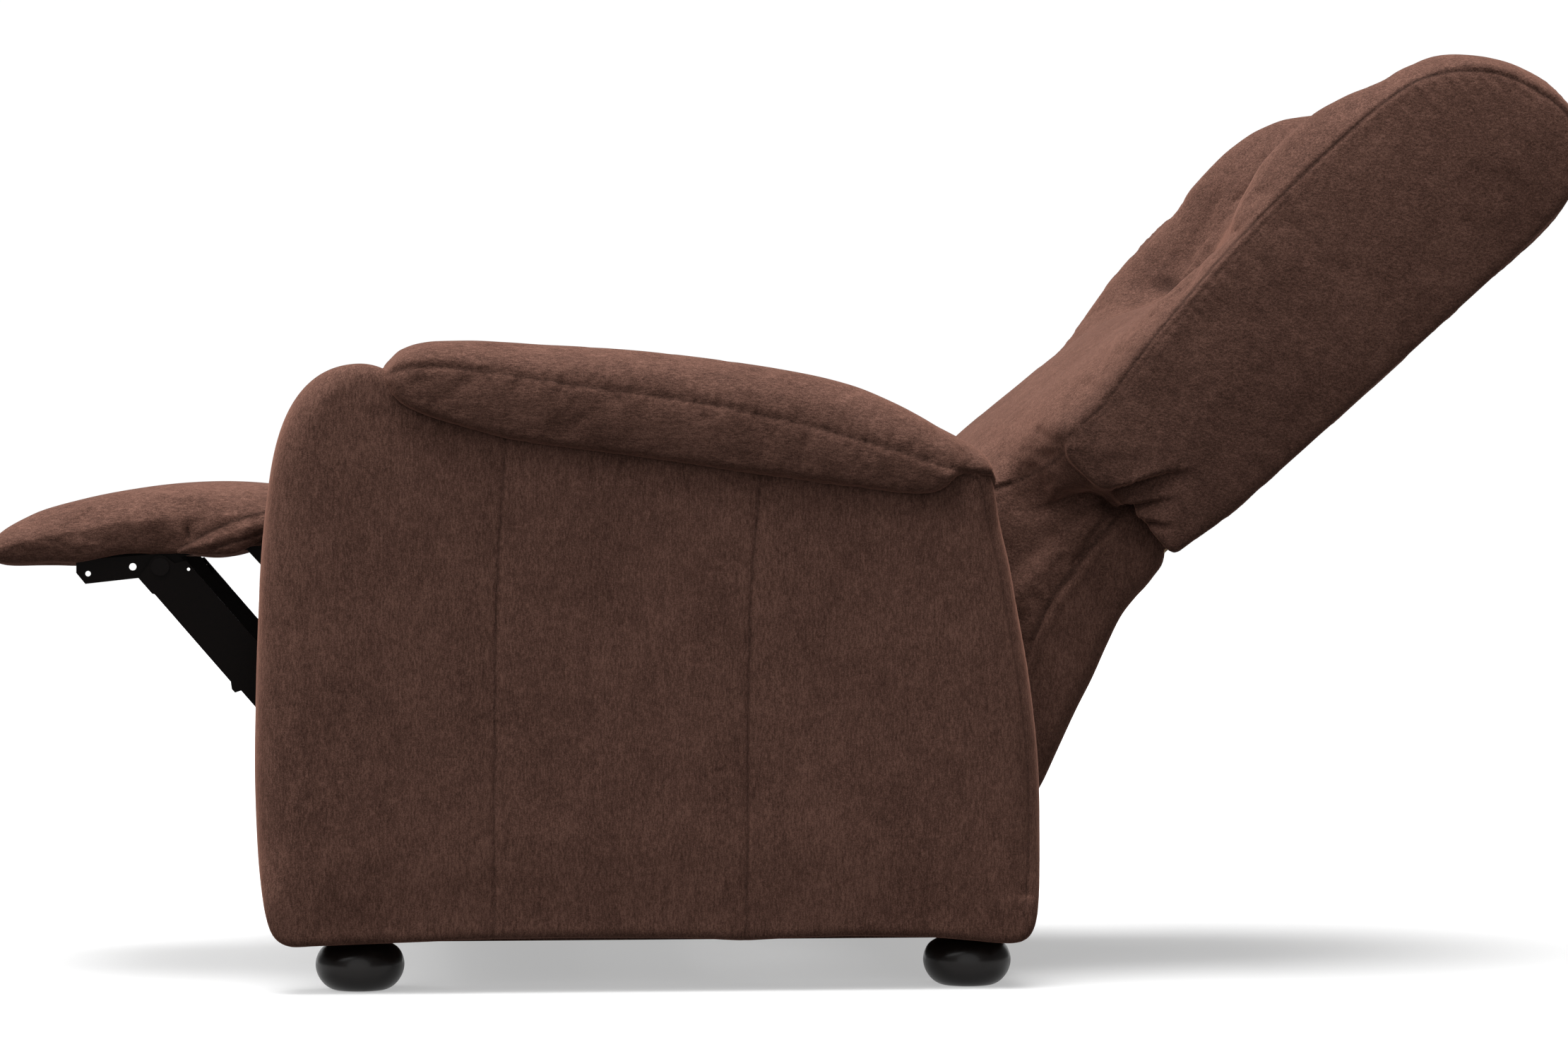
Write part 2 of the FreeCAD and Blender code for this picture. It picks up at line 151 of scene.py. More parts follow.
def value_noise(P, seed, scale):
    """Smooth repeatable noise in -1..1 at the points P (n, 3)."""
    q = P * scale
    i0 = np.floor(q).astype(np.int64)
    f = q - i0
    f = f * f * (3 - 2 * f)

    def hsh(i, j, k):
        n = (i * 374761393 + j * 668265263 + k * 2147483647 + seed * 1274126177) & 0xFFFFFFFF
        n = ((n ^ (n >> 13)) * 1274126177) & 0xFFFFFFFF
        n = n ^ (n >> 16)
        return (n & 0xFFFF) / 32767.5 - 1.0

    r = 0.0
    for a in (0, 1):
        for b in (0, 1):
            for c in (0, 1):
                w = (f[:, 0] if a else 1 - f[:, 0]) * (f[:, 1] if b else 1 - f[:, 1]) * (f[:, 2] if c else 1 - f[:, 2])
                r = r + w * hsh(i0[:, 0] + a, i0[:, 1] + b, i0[:, 2] + c)
    return r


# ------------------------------------------------------------------ closed skins from a distance field


def axis_points(lo, hi, h):
    return lo + h * np.arange(int(math.ceil((hi - lo) / h)) + 1)


CORNERS = [(0, 0, 0), (1, 0, 0), (0, 1, 0), (1, 1, 0), (0, 0, 1), (1, 0, 1), (0, 1, 1), (1, 1, 1)]
EDGES = [(0, 1), (2, 3), (4, 5), (6, 7), (0, 2), (1, 3), (4, 6), (5, 7), (0, 4), (1, 5), (2, 6), (3, 7)]


def skin(phi, axes, h):
    """Even quad skin of the zero level of phi on a regular grid (phi is negative inside)."""
    phi = np.asarray(phi, np.float32)
    ins = phi < 0
    c = ins.astype(np.int8)
    s = sum(c[a:c.shape[0] - 1 + a, b:c.shape[1] - 1 + b, d:c.shape[2] - 1 + d] for a, b, d in CORNERS)
    active = (s > 0) & (s < 8)
    cells = np.argwhere(active)
    idx = np.full(active.shape, -1, np.int64)
    idx[active] = np.arange(len(cells))
    i, j, k = cells.T
    val = [phi[i + a, j + b, k + d] for a, b, d in CORNERS]
    acc = np.zeros((len(cells), 3))
    cnt = np.zeros(len(cells))
    for a, b in EDGES:
        pa, pb = val[a], val[b]
        m = (pa < 0) != (pb < 0)
        t = np.where(m, pa / np.where(m, pa - pb, 1.0), 0.0)
        ca, cb = np.array(CORNERS[a], float), np.array(CORNERS[b], float)
        acc[m] += ca + t[m, None] * (cb - ca)
        cnt[m] += 1
    org = np.array([ax[0] for ax in axes])
    verts = (cells + acc / cnt[:, None]) * h + org
    quads = []
    for ax in range(3):
        u, v = (ax + 1) % 3, (ax + 2) % 3
        lo = [slice(None)] * 3
        hi = [slice(None)] * 3
        lo[ax], hi[ax] = slice(0, -1), slice(1, None)
        A, B = ins[tuple(lo)], ins[tuple(hi)]
        e = np.argwhere(A != B)
        ok = (e[:, u] > 0) & (e[:, v] > 0) & (e[:, u] < phi.shape[u] - 1) & (e[:, v] < phi.shape[v] - 1)
        e = e[ok]
        du, dv = np.eye(3, dtype=np.int64)[u], np.eye(3, dtype=np.int64)[v]
        q = np.stack([idx[tuple((e - o).T)] for o in (du + dv, dv, 0 * du, du)], 1)
        flip = ~A[tuple(e.T)]
        q[flip] = q[flip][:, ::-1]
        quads.append(q)
    return verts, np.vstack(quads)


def sample(phi, axes, h, P):
    """Trilinear value and gradient of a gridded field at points P."""
    org = np.array([ax[0] for ax in axes])
    q = (P - org) / h
    top = np.array(phi.shape) - 2
    i0 = np.clip(np.floor(q).astype(np.int64), 0, top)
    f = np.clip(q - i0, 0, 1)
    i, j, k = i0.T
    v = {c: phi[i + c[0], j + c[1], k + c[2]] for c in CORNERS}
    fx, fy, fz = f.T
    c00 = v[0, 0, 0] * (1 - fx) + v[1, 0, 0] * fx
    c10 = v[0, 1, 0] * (1 - fx) + v[1, 1, 0] * fx
    c01 = v[0, 0, 1] * (1 - fx) + v[1, 0, 1] * fx
    c11 = v[0, 1, 1] * (1 - fx) + v[1, 1, 1] * fx
    c0, c1 = c00 * (1 - fy) + c10 * fy, c01 * (1 - fy) + c11 * fy
    val = c0 * (1 - fz) + c1 * fz
    gx = ((v[1, 0, 0] - v[0, 0, 0]) * (1 - fy) + (v[1, 1, 0] - v[0, 1, 0]) * fy) * (1 - fz) + ((v[1, 0, 1] - v[0, 0, 1]) * (1 - fy) + (v[1, 1, 1] - v[0, 1, 1]) * fy) * fz
    gy, gz = (c10 - c00) * (1 - fz) + (c11 - c01) * fz, c1 - c0
    return val, np.stack([gx, gy, gz], 1) / h


def relax(verts, quads, times=1, amount=0.5):
    """Even out a skin by moving each point towards its neighbours' mean."""
    e = np.vstack([quads[:, [0, 1]], quads[:, [1, 2]], quads[:, [2, 3]], quads[:, [3, 0]]])
    a, b = e[:, 0], e[:, 1]
    n = len(verts)
    deg = np.bincount(a, minlength=n) + np.bincount(b, minlength=n)
    for _ in range(times):
        acc = np.stack([np.bincount(a, verts[b, d], n) + np.bincount(b, verts[a, d], n) for d in range(3)], 1)
        verts = verts + amount * (acc / np.maximum(deg, 1)[:, None] - verts)
    return verts


def skin_of(phi, axes, h):
    """Skin, settled onto the field so that it carries no steps of the grid."""
    v, q = skin(phi, axes, h)
    v = relax(v, q, 2, 0.5)
    for _ in range(2):
        d, g = sample(phi, axes, h, v)
        n2 = np.sum(g * g, 1) + 1e-6
        step = np.clip(d / n2, -h / np.sqrt(n2), h / np.sqrt(n2))
        v = v - g * step[:, None]
    return relax(v, q, 1, 0.25), q


def vertex_normals(v, q):
    n = np.cross(v[q[:, 2]] - v[q[:, 0]], v[q[:, 3]] - v[q[:, 1]])
    out = np.stack([sum(np.bincount(q[:, c], n[:, d], len(v)) for c in range(4)) for d in range(3)], 1)
    return out / (np.linalg.norm(out, axis=1)[:, None] + 1e-12)


def mesh_object(name, verts, faces, attrs=None, smooth=True):
    me = bpy.data.meshes.new(name)
    faces = np.asarray(faces)
    me.vertices.add(len(verts))
    me.vertices.foreach_set("co", np.asarray(verts, np.float32).ravel())
    k = faces.shape[1]
    me.loops.add(faces.size)
    me.loops.foreach_set("vertex_index", faces.astype(np.int32).ravel())
    me.polygons.add(len(faces))
    me.polygons.foreach_set("loop_start", np.arange(0, faces.size, k, dtype=np.int32))
    me.polygons.foreach_set("loop_total", np.full(len(faces), k, np.int32))
    me.polygons.foreach_set("use_smooth", np.full(len(faces), smooth))
    for key, val in (attrs or {}).items():
        at = me.attributes.new(key, "FLOAT", "POINT")
        at.data.foreach_set("value", np.asarray(val, np.float32))
    me.update(calc_edges=True)
    me.validate()
    ob = bpy.data.objects.new(name, me)
    SCENE.collection.objects.link(ob)
    return ob


def mirrored(v, q):
    return v * np.array([-1.0, 1, 1]), q[:, ::-1]

# ------------------------------------------------------------------ covers blown up a little as cloth


def puff(verts, quads, hold, pressure=4.0, grow=0.02, cap=0.006, balloon=0.3, frames=16):
    """Run a skin as cloth under pressure, held where hold is 1, and return how far each point moves."""
    ob = mesh_object("cloth_run", verts, quads)
    vg = ob.vertex_groups.new(name="hold")
    level = np.round(np.clip(hold, 0, 1) * 8).astype(int)
    for k in range(1, 9):
        idx = np.flatnonzero(level == k)
        if len(idx):
            vg.add(idx.tolist(), k / 8.0, "REPLACE")
    m = ob.modifiers.new("cloth", "CLOTH")
    st = m.settings
    st.quality = 5
    st.mass = 0.2
    st.tension_stiffness = st.compression_stiffness = 14.0
    st.shear_stiffness = 5.0
    st.bending_stiffness = 0.35
    st.vertex_group_mass = "hold"
    st.pin_stiffness = 1.0
    st.use_pressure = True
    st.uniform_pressure_force = pressure
    st.shrink_min = -grow
    st.effector_weights.gravity = 0.0
    m.point_cache.frame_start, m.point_cache.frame_end = 1, frames
    for f in range(1, frames + 1):
        SCENE.frame_set(f)
    ev = ob.evaluated_get(bpy.context.evaluated_depsgraph_get())
    me = ev.to_mesh()
    out = np.empty(len(verts) * 3, np.float32)
    me.vertices.foreach_get("co", out)
    ev.to_mesh_clear()
    old = ob.data
    bpy.data.objects.remove(ob)
    bpy.data.meshes.remove(old)
    SCENE.frame_set(1)
    move = out.reshape(-1, 3).astype(float) - verts
    soft = relax(move, quads, 40, 0.6)
    move = (move - soft) + balloon * soft
    far = np.linalg.norm(move, axis=1) + 1e-9
    return move * (cap * np.tanh(far / cap) / far)[:, None]


def carry(src, move, dst):
    """Hand the movement of a coarse skin on to the points of a fine one."""
    tree = kdtree.KDTree(len(src))
    for i, p in enumerate(src):
        tree.insert(p, i)
    tree.balance()
    idx = np.empty((len(dst), 5), np.int64)
    dist = np.empty((len(dst), 5))
    for i, p in enumerate(dst):
        for j, (_, k, d) in enumerate(tree.find_n(p, 5)):
            idx[i, j], dist[i, j] = k, d
    w = 1.0 / (dist ** 2 + 4e-6)
    w /= w.sum(1)[:, None]
    return dst + np.einsum("ij,ijk->ik", w, move[idx])


def as_cloth(build, h_run, verts, attrs, calm=None, **kw):
    """Settle a fine skin with a cloth run of the same shape on a coarser grid; calm holds the panels that are stretched tight."""
    cv, cq = build(h_run)
    move = puff(cv, cq, np.clip(attrs(cv)["seam"] * 1.4, 0, 1), **kw)
    if calm is not None:
        move = move * calm(cv)[:, None]
    return carry(cv, move, verts)

# ------------------------------------------------------------------ materials


def new_mat(name):
    m = bpy.data.materials.new(name)
    m.use_nodes = True
    nt = m.node_tree
    for n in list(nt.nodes):
        nt.nodes.remove(n)
    out = nt.nodes.new("ShaderNodeOutputMaterial")
    b = nt.nodes.new("ShaderNodeBsdfPrincipled")
    nt.links.new(b.outputs[0], out.inputs[0])
    return m, nt, b


def node(nt, kind, **props):
    n = nt.nodes.new(kind)
    for k, v in props.items():
        setattr(n, k, v)
    return n


def math_node(nt, op, a, b=None, clamp=False):
    n = node(nt, "ShaderNodeMath", operation=op, use_clamp=clamp)
    for i, v in enumerate((a, b)):
        if v is None:
            continue
        if isinstance(v, (int, float)):
            n.inputs[i].default_value = v
        else:
            nt.links.new(v, n.inputs[i])
    return n.outputs[0]


def noise(nt, vec, scale, detail=2.0, rough=0.5):
    n = node(nt, "ShaderNodeTexNoise")
    n.inputs["Scale"].default_value = scale
    n.inputs["Detail"].default_value = detail
    n.inputs["Roughness"].default_value = rough
    nt.links.new(vec, n.inputs["Vector"])
    return n.outputs["Fac"]


def mapped(nt, coord, scale, rot=(0, 0, 0)):
    mp = node(nt, "ShaderNodeMapping")
    mp.inputs["Rotation"].default_value = rot
    mp.inputs["Scale"].default_value = scale
    nt.links.new(coord, mp.inputs["Vector"])
    return mp.outputs[0]


def remap(nt, v, a, b, c, d):
    n = node(nt, "ShaderNodeMapRange")
    for i, x in enumerate((a, b, c, d)):
        n.inputs[i + 1].default_value = x
    nt.links.new(v, n.inputs[0])
    return n.outputs[0]


FABRIC_DARK = (0.0332, 0.0160, 0.0116)
FABRIC_MID = (0.0675, 0.0335, 0.0248)
FABRIC_LIGHT = (0.1145, 0.0588, 0.0443)


def fabric(name, streak=(1.0, 1.0, 0.22), rot=(0, 0, 0)):
    """Brown chenille velvet: short pile in faint streaks, hand-brushed patches, soft sheen."""
    m, nt, b = new_mat(name)
    tc = node(nt, "ShaderNodeTexCoord").outputs["Object"]
    run = mapped(nt, tc, streak, rot)
    n_streak = noise(nt, run, 560.0, 2.0, 0.55)
    n_mid = noise(nt, run, 150.0, 2.0, 0.5)
    n_blot = noise(nt, tc, 62.0, 2.0, 0.5)
    n_patch = noise(nt, tc, 13.0, 3.0, 0.55)
    n_pile = noise(nt, tc, 820.0, 1.0, 0.5)
    t = 0.5
    for val, amount in ((n_streak, 0.60), (n_mid, 0.24), (n_blot, 0.16), (n_patch, 0.22), (n_pile, 0.55)):
        t = math_node(nt, "ADD", math_node(nt, "MULTIPLY", remap(nt, val, 0.30, 0.70, -0.5, 0.5), amount), t)
    t = math_node(nt, "ADD", t, 0.0, clamp=True)
    ramp = node(nt, "ShaderNodeValToRGB")
    el = ramp.color_ramp.elements
    el[0].position, el[0].color = 0.0, (*FABRIC_DARK, 1)
    el[1].position, el[1].color = 1.0, (*FABRIC_LIGHT, 1)
    mid = el.new(0.5)
    mid.color = (*FABRIC_MID, 1)
    nt.links.new(t, ramp.inputs[0])
    # the seam attribute darkens the base colour: dark seam lines, and painted shade in folds, creases, hollows, tucked
    # edges and on the lower sides of the back
    at = node(nt, "ShaderNodeAttribute", attribute_name="seam")
    dark = remap(nt, at.outputs["Fac"], 0.0, 1.0, 1.0, 0.34)
    mul = node(nt, "ShaderNodeMix", data_type="RGBA", blend_type="MULTIPLY")
    mul.inputs[0].default_value = 1.0
    nt.links.new(ramp.outputs[0], mul.inputs[6])
    comb = node(nt, "ShaderNodeCombineColor")
    for i in range(3):
        nt.links.new(dark, comb.inputs[i])
    nt.links.new(comb.outputs[0], mul.inputs[7])
    nt.links.new(mul.outputs[2], b.inputs["Base Color"])
    rough = remap(nt, n_mid, 0.2, 0.8, 0.82, 0.96)
    nt.links.new(rough, b.inputs["Roughness"])
    b.inputs["Specular IOR Level"].default_value = 0.05
    b.inputs["Sheen Weight"].default_value = 0.20
    b.inputs["Sheen Roughness"].default_value = 0.42
    b.inputs["Sheen Tint"].default_value = (1.0, 0.48, 0.345, 1)
    hgt = math_node(nt, "ADD", math_node(nt, "MULTIPLY", n_streak, 0.55), math_node(nt, "MULTIPLY", n_pile, 0.45))
    hgt = math_node(nt, "ADD", hgt, math_node(nt, "MULTIPLY", n_mid, 0.5))
    bump = node(nt, "ShaderNodeBump")
    bump.inputs["Strength"].default_value = 0.55
    bump.inputs["Distance"].default_value = 0.0012
    nt.links.new(hgt, bump.inputs["Height"])
    nt.links.new(bump.outputs[0], b.inputs["Normal"])
    return m


def simple(name, color, rough, metallic=0.0, coat=0.0, var=0.15, scale=60.0, bump=0.0, stretch=(1, 1, 1), spec=0.5, coat_rough=0.05):
    """Hard material with a little drift in tone and roughness."""
    m, nt, b = new_mat(name)
    tc = node(nt, "ShaderNodeTexCoord").outputs["Object"]
    n1 = noise(nt, mapped(nt, tc, stretch), scale, 4.0, 0.6)
    ramp = node(nt, "ShaderNodeValToRGB")
    el = ramp.color_ramp.elements
    el[0].position, el[0].color = 0.25, (*[c * (1 - var) for c in color], 1)
    el[1].position, el[1].color = 0.75, (*[min(1.0, c * (1 + var)) for c in color], 1)
    nt.links.new(n1, ramp.inputs[0])
    nt.links.new(ramp.outputs[0], b.inputs["Base Color"])
    nt.links.new(remap(nt, n1, 0.2, 0.8, max(0.02, rough - 0.06), rough + 0.06), b.inputs["Roughness"])
    b.inputs["Metallic"].default_value = metallic
    b.inputs["Coat Weight"].default_value = coat
    b.inputs["Coat Roughness"].default_value = coat_rough
    b.inputs["Specular IOR Level"].default_value = spec
    if bump:
        bn = node(nt, "ShaderNodeBump")
        bn.inputs["Strength"].default_value = bump
        bn.inputs["Distance"].default_value = 0.0006
        nt.links.new(n1, bn.inputs["Height"])
        nt.links.new(bn.outputs[0], b.inputs["Normal"])
    return m


M_ARM = fabric("velvet_arm", (1.0, 1.0, 0.30))
M_PAD = fabric("velvet_armrest", (1.0, 0.34, 1.0))
M_BACK = fabric("velvet_back", (1.0, 0.55, 0.9), (math.radians(-42), 0, 0))
M_SEAT = fabric("velvet_seat", (1.0, 0.34, 1.0))
M_LEG = fabric("velvet_leg_rest", (1.0, 0.34, 1.0))
M_SKIRT = fabric("velvet_skirt", (1.0, 1.0, 0.4))
M_FOOT = simple("dark_lacquered_wood", (0.0050, 0.0034, 0.0029), 0.36, coat=0.16, spec=0.14, var=0.35, scale=26.0, stretch=(3.0, 3.0, 0.6), coat_rough=0.16)
M_WOOD = simple("frame_wood", (0.42, 0.285, 0.165), 0.62, var=0.22, scale=22.0, bump=0.4, stretch=(4.0, 0.5, 4.0))
M_STEEL = simple("black_painted_steel", (0.0020, 0.0012, 0.0010), 0.46, var=0.4, scale=240.0, bump=0.12, spec=0.035)
M_ZINC = simple("zinc_plated_steel", (0.72, 0.71, 0.70), 0.30, metallic=1.0, var=0.12, scale=300.0, bump=0.1)
M_BLACKPIN = simple("black_pin", (0.0022, 0.0013, 0.0011), 0.46, var=0.3, scale=300.0, spec=0.045)
# black cover for the leg rest board, partly a real dust cover and partly painted shade under the leg rest pad
M_UNDER = simple("black_dust_cover_and_shade", (0.0045, 0.0040, 0.0040), 0.90, var=0.35, scale=520.0, bump=0.5, spec=0.08)
M_WEB = simple("black_webbing", (0.020, 0.020, 0.022), 0.85, var=0.4, scale=420.0, bump=0.6, stretch=(0.4, 2.0, 1.0))


def paint(node_name, mat):
    ob = NODES[node_name]
    ob.data.materials.clear()
    ob.data.materials.append(mat)
    for p in ob.data.polygons:
        p.material_index = 0


for n in NODES:
    if n.startswith("bun_foot"):
        paint(n, M_FOOT)
    # the leg rest board is black: a dust cover that also serves as painted shade under the pad
    elif n == "leg_rest_board":
        paint(n, M_UNDER)
    elif n.startswith(("arm_frame", "seat_front_rail", "front_base_rail")):
        paint(n, M_ARM)  # boards that show at the front are wrapped in the cover
    elif "webbing" in n:
        paint(n, M_WEB)
    elif n in ("bracket_rivets", "foot_bolts", "rail_fasteners", "back_bracket_bolts"):
        paint(n, M_ZINC)
    elif n.endswith("_pins") or n == "rail_spacers":
        paint(n, M_BLACKPIN)
    elif n.startswith(("mechanism_rail", "drive_plate", "front_link", "rear_link", "leg_rest_bracket", "back_hinge_bracket", "torque_tube")):
        paint(n, M_STEEL)
    elif n.startswith(("side_sill", "seat_side_rail", "seat_rear_rail", "rear_base_rail", "back_post", "back_bottom", "back_middle", "back_top", "leg_rest_board")):
        paint(n, M_WOOD)
    else:
        paint(n, M_ARM)

# the small stop rivet on the front links is left bright
pins = NODES["leg_rest_front_pins"]
pins.data.materials.append(M_ZINC)
for p in pins.data.polygons:
    c = pins.matrix_world @ p.center
    if abs(c.y + .592) < .004 and abs(c.z - .4116) < .004:
        p.material_index = 1


def dress(ob, mat, body, *nodes, fill=None):
    ob.data.materials.append(mat)
    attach(ob, body)
    if nodes:
        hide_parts(*nodes)
    return ob


# ------------------------------------------------------------------ arms and armrest rolls (left one, then its mirror image)
ARM_LOOP = smooth_loop([
    (-.5080, .060), (-.5150, .085), (-.5215, .136), (-.5245, .206), (-.524, .276), (-.522, .346), (-.519, .416), (-.514, .472), (-.507, .521), (-.497, .556),
    (-.483, .582), (-.465, .600), (-.444, .610), (-.420, .613), (-.401, .609), (-.386, .602), (-.340, .598), (-.289, .594), (-.149, .580), (-.009, .559),
    (.096, .531), (.140, .5245), (.166, .5195), (.180, .5175), (.1895, .5145), (.1968, .5050), (.2008, .4890), (.2055, .4660), (.2108, .4445), (.2178, .4150), (.2255, .370), (.236, .311), (.2445, .241), (.2475, .185), (.2470, .136), (.2430, .080),
    (.2370, .055), (.226, .0455), (.208, .0443), (.170, .0480), (.130, .0510), (.060, .0525), (.010, .0515), (-.028, .0498), (-.047, .0490), (-.066, .0498), (-.110, .0520), (-.200, .0527), (-.292, .0522), (-.360, .0500), (-.420, .0482), (-.470, .0464), (-.488, .0458),
    (-.4995, .0500)])
BED = [(-.41, .603), (-.388, .6013), (-.289, .5943), (-.149, .5803), (-.009, .5593), (.096, .5343), (.166, .5083), (.204, .4933)]
PAD_TOP = [(-.4055, .5985), (-.4035, .602), (-.4006, .6086), (-.3922, .6177), (-.3825, .6263), (-.3667, .6322), (-.3487, .6350), (-.3162, .6354), (-.281, .6338), (-.2456, .6315), (-.2074, .6298), (-.149, .6258), (-.065, .6165), (.019, .603),
           (.061, .5925), (.103, .5755), (.1281, .5625), (.1464, .5518), (.1675, .5413), (.1851, .5312), (.195, .5207), (.1999, .5095), (.2025, .5040)]
PAD_LOW = [(-.4055, .5970), (-.4020, .5940), (-.3909, .5794), (-.3756, .5691), (-.3521, .5593), (-.3173, .5489), (-.2825, .5398), (-.2476, .5335), (-.2099, .5285), (-.149, .5205), (-.114, .5160), (-.060, .5085), (-.009, .5015), (.061, .4925),
           (.1212, .4868), (.1370, .4878), (.1455, .4908), (.1537, .4960), (.1621, .5040), (.175, .5052), (.2025, .5030)]
PAD_SEAM = [(-.4055, .5980), (-.4015, .5990), (-.3977, .6004), (-.3869, .6056), (-.370, .6080), (-.3521, .6088), (-.331, .6077), (-.306, .6048), (-.2825, .6017), (-.2476, .5965), (-.2099, .5903), (-.149, .5830), (-.079, .5722), (.012, .5530),
            (.096, .5295), (.1212, .5218), (.1372, .5153), (.1511, .5111), (.1691, .5070), (.1914, .5080), (.2025, .5040)]


ARM_SEAMS = ([(.02, -.2922), (.2025, -.2921), (.2684, -.2912), (.3342, -.2908), (.4001, -.2892), (.4988, -.2836), (.62, -.276)],
             [(.02, -.0470), (.1021, -.0458), (.1682, -.0448), (.2344, -.0450), (.2675, -.0444), (.3336, -.0434), (.3899, -.0418), (.4329, -.0385), (.4924, -.0332), (.62, -.022)])


def seam_y(z, which):
    return curve(ARM_SEAMS[which], z)


def build_arm(h):
    xs, ys, zs = axis_points(.236, .402, h), axis_points(-.552, .276, h), axis_points(.022, .660, h)
    Y, Z = np.meshgrid(ys, zs, indexing="ij")
    d2 = loop_sdf(Y, Z, ARM_LOOP)
    s_front = np.abs(Y - seam_y(Z, 0))
    s_rear = np.abs(Y - seam_y(Z, 1))
    s_line = np.minimum(s_front, s_rear)
    border = np.abs(d2 + .0145) + 10.0 * smoothstep(.17, .13, Y) + 10.0 * smoothstep(.090, .060, Z)
    inner_d = smoothstep(.0, .10, -d2)
    panel = .3625 + .0055 * inner_d - .0010 * np.exp(-(s_line / .020) ** 2) - .0017 * np.exp(-(np.minimum(s_line, border) / .0019) ** 2)
    panel = panel - .002 * np.exp(-(border / .012) ** 2)
    k = .020 + .030 * smoothstep(-.41, -.50, Y) * smoothstep(.08, .16, Z) - .011 * smoothstep(.12, .06, Z) + .020 * smoothstep(.14, .19, Y) * smoothstep(.09, .17, Z) * smoothstep(.50, .44, Z)
    X = xs[:, None, None]
    outer = smax(d2[None], X - panel[None], k[None])
    inner = np.minimum(.3005 - X + 0 * Z[None], smax(.2570 - X, .372 - Z[None], .016))
    phi = smax(outer, inner, .018)
    # behind, the cover turns in as far as the skirt
    ret = smax(smax(d2 + .0010, -.026 - d2, .006), np.maximum(.16 - Y, Z - .380), .006)
    phi = smin(phi, np.maximum(ret[None], np.maximum(.2486 - X, X - .320)), .006)
    # armrest roll
    yy = ys
    zt, zl, bed, zs_ = curve(PAD_TOP, yy), curve(PAD_LOW, yy), curve(BED, yy), curve(PAD_SEAM, yy)
    mid = zs_
    end = np.sqrt(np.clip(1 - (1 - np.clip((yy + .406) / .050, 0, 1)) ** 2, 0, 1)) * np.sqrt(np.clip(1 - (1 - np.clip((.2035 - yy) / .013, 0, 1)) ** 2, 0, 1))
    a_out, a_in = .020 + .045 * end - .013 * smoothstep(.150, .178, yy), .020 + .045 * end - .008 * smoothstep(.03, .11, yy)
    xc = .3165
    XX, YY, ZZ = xs[:, None, None], yy[None, :, None], zs[None, None, :]
    b_up = np.maximum(zt - mid, .0035)[None, :, None]
    b_in = np.maximum(mid - (bed - .012), .010)[None, :, None]
    wlow = smoothstep(.328, .352, XX)
    dz = ZZ - mid[None, :, None]
    dx = XX - xc
    rx = np.where(dx > 0, dx / a_out[None, :, None], -dx / a_in[None, :, None])
    up = (np.clip(rx, 0, 9) ** 2.2 + np.clip(dz / b_up, 0, 9) ** 2.2 + 1e-9) ** (1 / 2.2)
    low_in = (np.clip(rx, 0, 9) ** 2.7 + np.clip(-dz / b_in, 0, 9) ** 2.7 + 1e-9) ** (1 / 2.7)
    strip = np.maximum(mid - zl, .010)[None, :, None]
    low_out = rx - .030 * np.exp(-((dz / strip + .42) / .40) ** 2) + .050 * np.clip(-dz / strip, 0, 2) ** 2
    r = np.where(dz > 0, up, low_in * (1 - wlow) + low_out * wlow)
    pad = (r - 1.0) * .052
    pad = smax(pad, (zl[None, :, None] - ZZ) - (1 - wlow) * .2, .009)
    outside = (yy < -.4055) | (yy > .2025)
    pad = np.where(outside[None, :, None], .02, pad)
    sd, sarc = line_dist(Y, Z, resample(PAD_SEAM, .01))
    pull = smoothstep(.335, .36, XX)
    ripple = np.sin(sarc / .0125 * 2 * math.pi + 2.2 * np.sin(sarc * 23.0)) * (.5 + .5 * np.sin(sarc * 41.0 + 1.0))
    wr = .0005 * ripple * np.exp(-(sd / .016) ** 2) * smoothstep(.0, .05, sarc)
    wr = wr + .0016 * np.sin(Y * 92.0 + 3.0 * np.sin(Y * 19.0) + 10.0 * (Z - .58)) * np.exp(-((Y + .03) / .10) ** 2) * np.exp(-(sd / .035) ** 2)
    groove = .0013 * np.exp(-(sd / .0018) ** 2) + .0004 * np.exp(-(sd / .006) ** 2)
    pad = pad + pull * (groove + wr)[None]
    under = phi + .0030
    pad = np.maximum(pad, -under)
    axes = (xs, ys, zs)
    va, qa = skin_of(phi, axes, h)
    vp, qp = skin_of(pad, axes, h)
    return (va, qa), (vp, qp)


def arm_attrs(v):
    y, z = v[:, 1], v[:, 2]
    s = np.minimum(np.abs(y - seam_y(z, 0)), np.abs(y - seam_y(z, 1)))
    s = np.where((np.abs(v[:, 0]) > .345) & (z > .040), s, 1.0)
    d2 = loop_sdf(y, z, ARM_LOOP[::3])
    b = np.where((y > .16) & (z > .07) & (np.abs(v[:, 0]) > .345), np.abs(d2 + .0145), 1.0)
    return {"seam": .62 * np.exp(-(np.minimum(s, b) / .0014) ** 2)}


def pad_attrs(v):
    d, _ = line_dist(v[:, 1], v[:, 2], resample(PAD_SEAM, .02))
    return {"seam": np.where(np.abs(v[:, 0]) > .345, .62 * np.exp(-(d / .0015) ** 2), 0.0)}


H_ARM = .0027
(va, qa), (vp, qp) = build_arm(H_ARM)
vp = as_cloth(lambda h: build_arm(h)[1], .0060, vp, pad_attrs, cap=.0013, balloon=.10)
for side in ("left", "right"):
    a = (va, qa) if side == "left" else mirrored(va, qa)
    p = (vp, qp) if side == "left" else mirrored(vp, qp)
    dress(mesh_object("arm_cover_" + side, *a, arm_attrs(a[0])), M_ARM, "base", "outer_arm_padding_" + side, "inner_arm_padding_" + side, fill=0.9)
    dress(mesh_object("armrest_roll_" + side, *p, pad_attrs(p[0])), M_PAD, "base", "armrest_pad_" + side, fill=0.8)

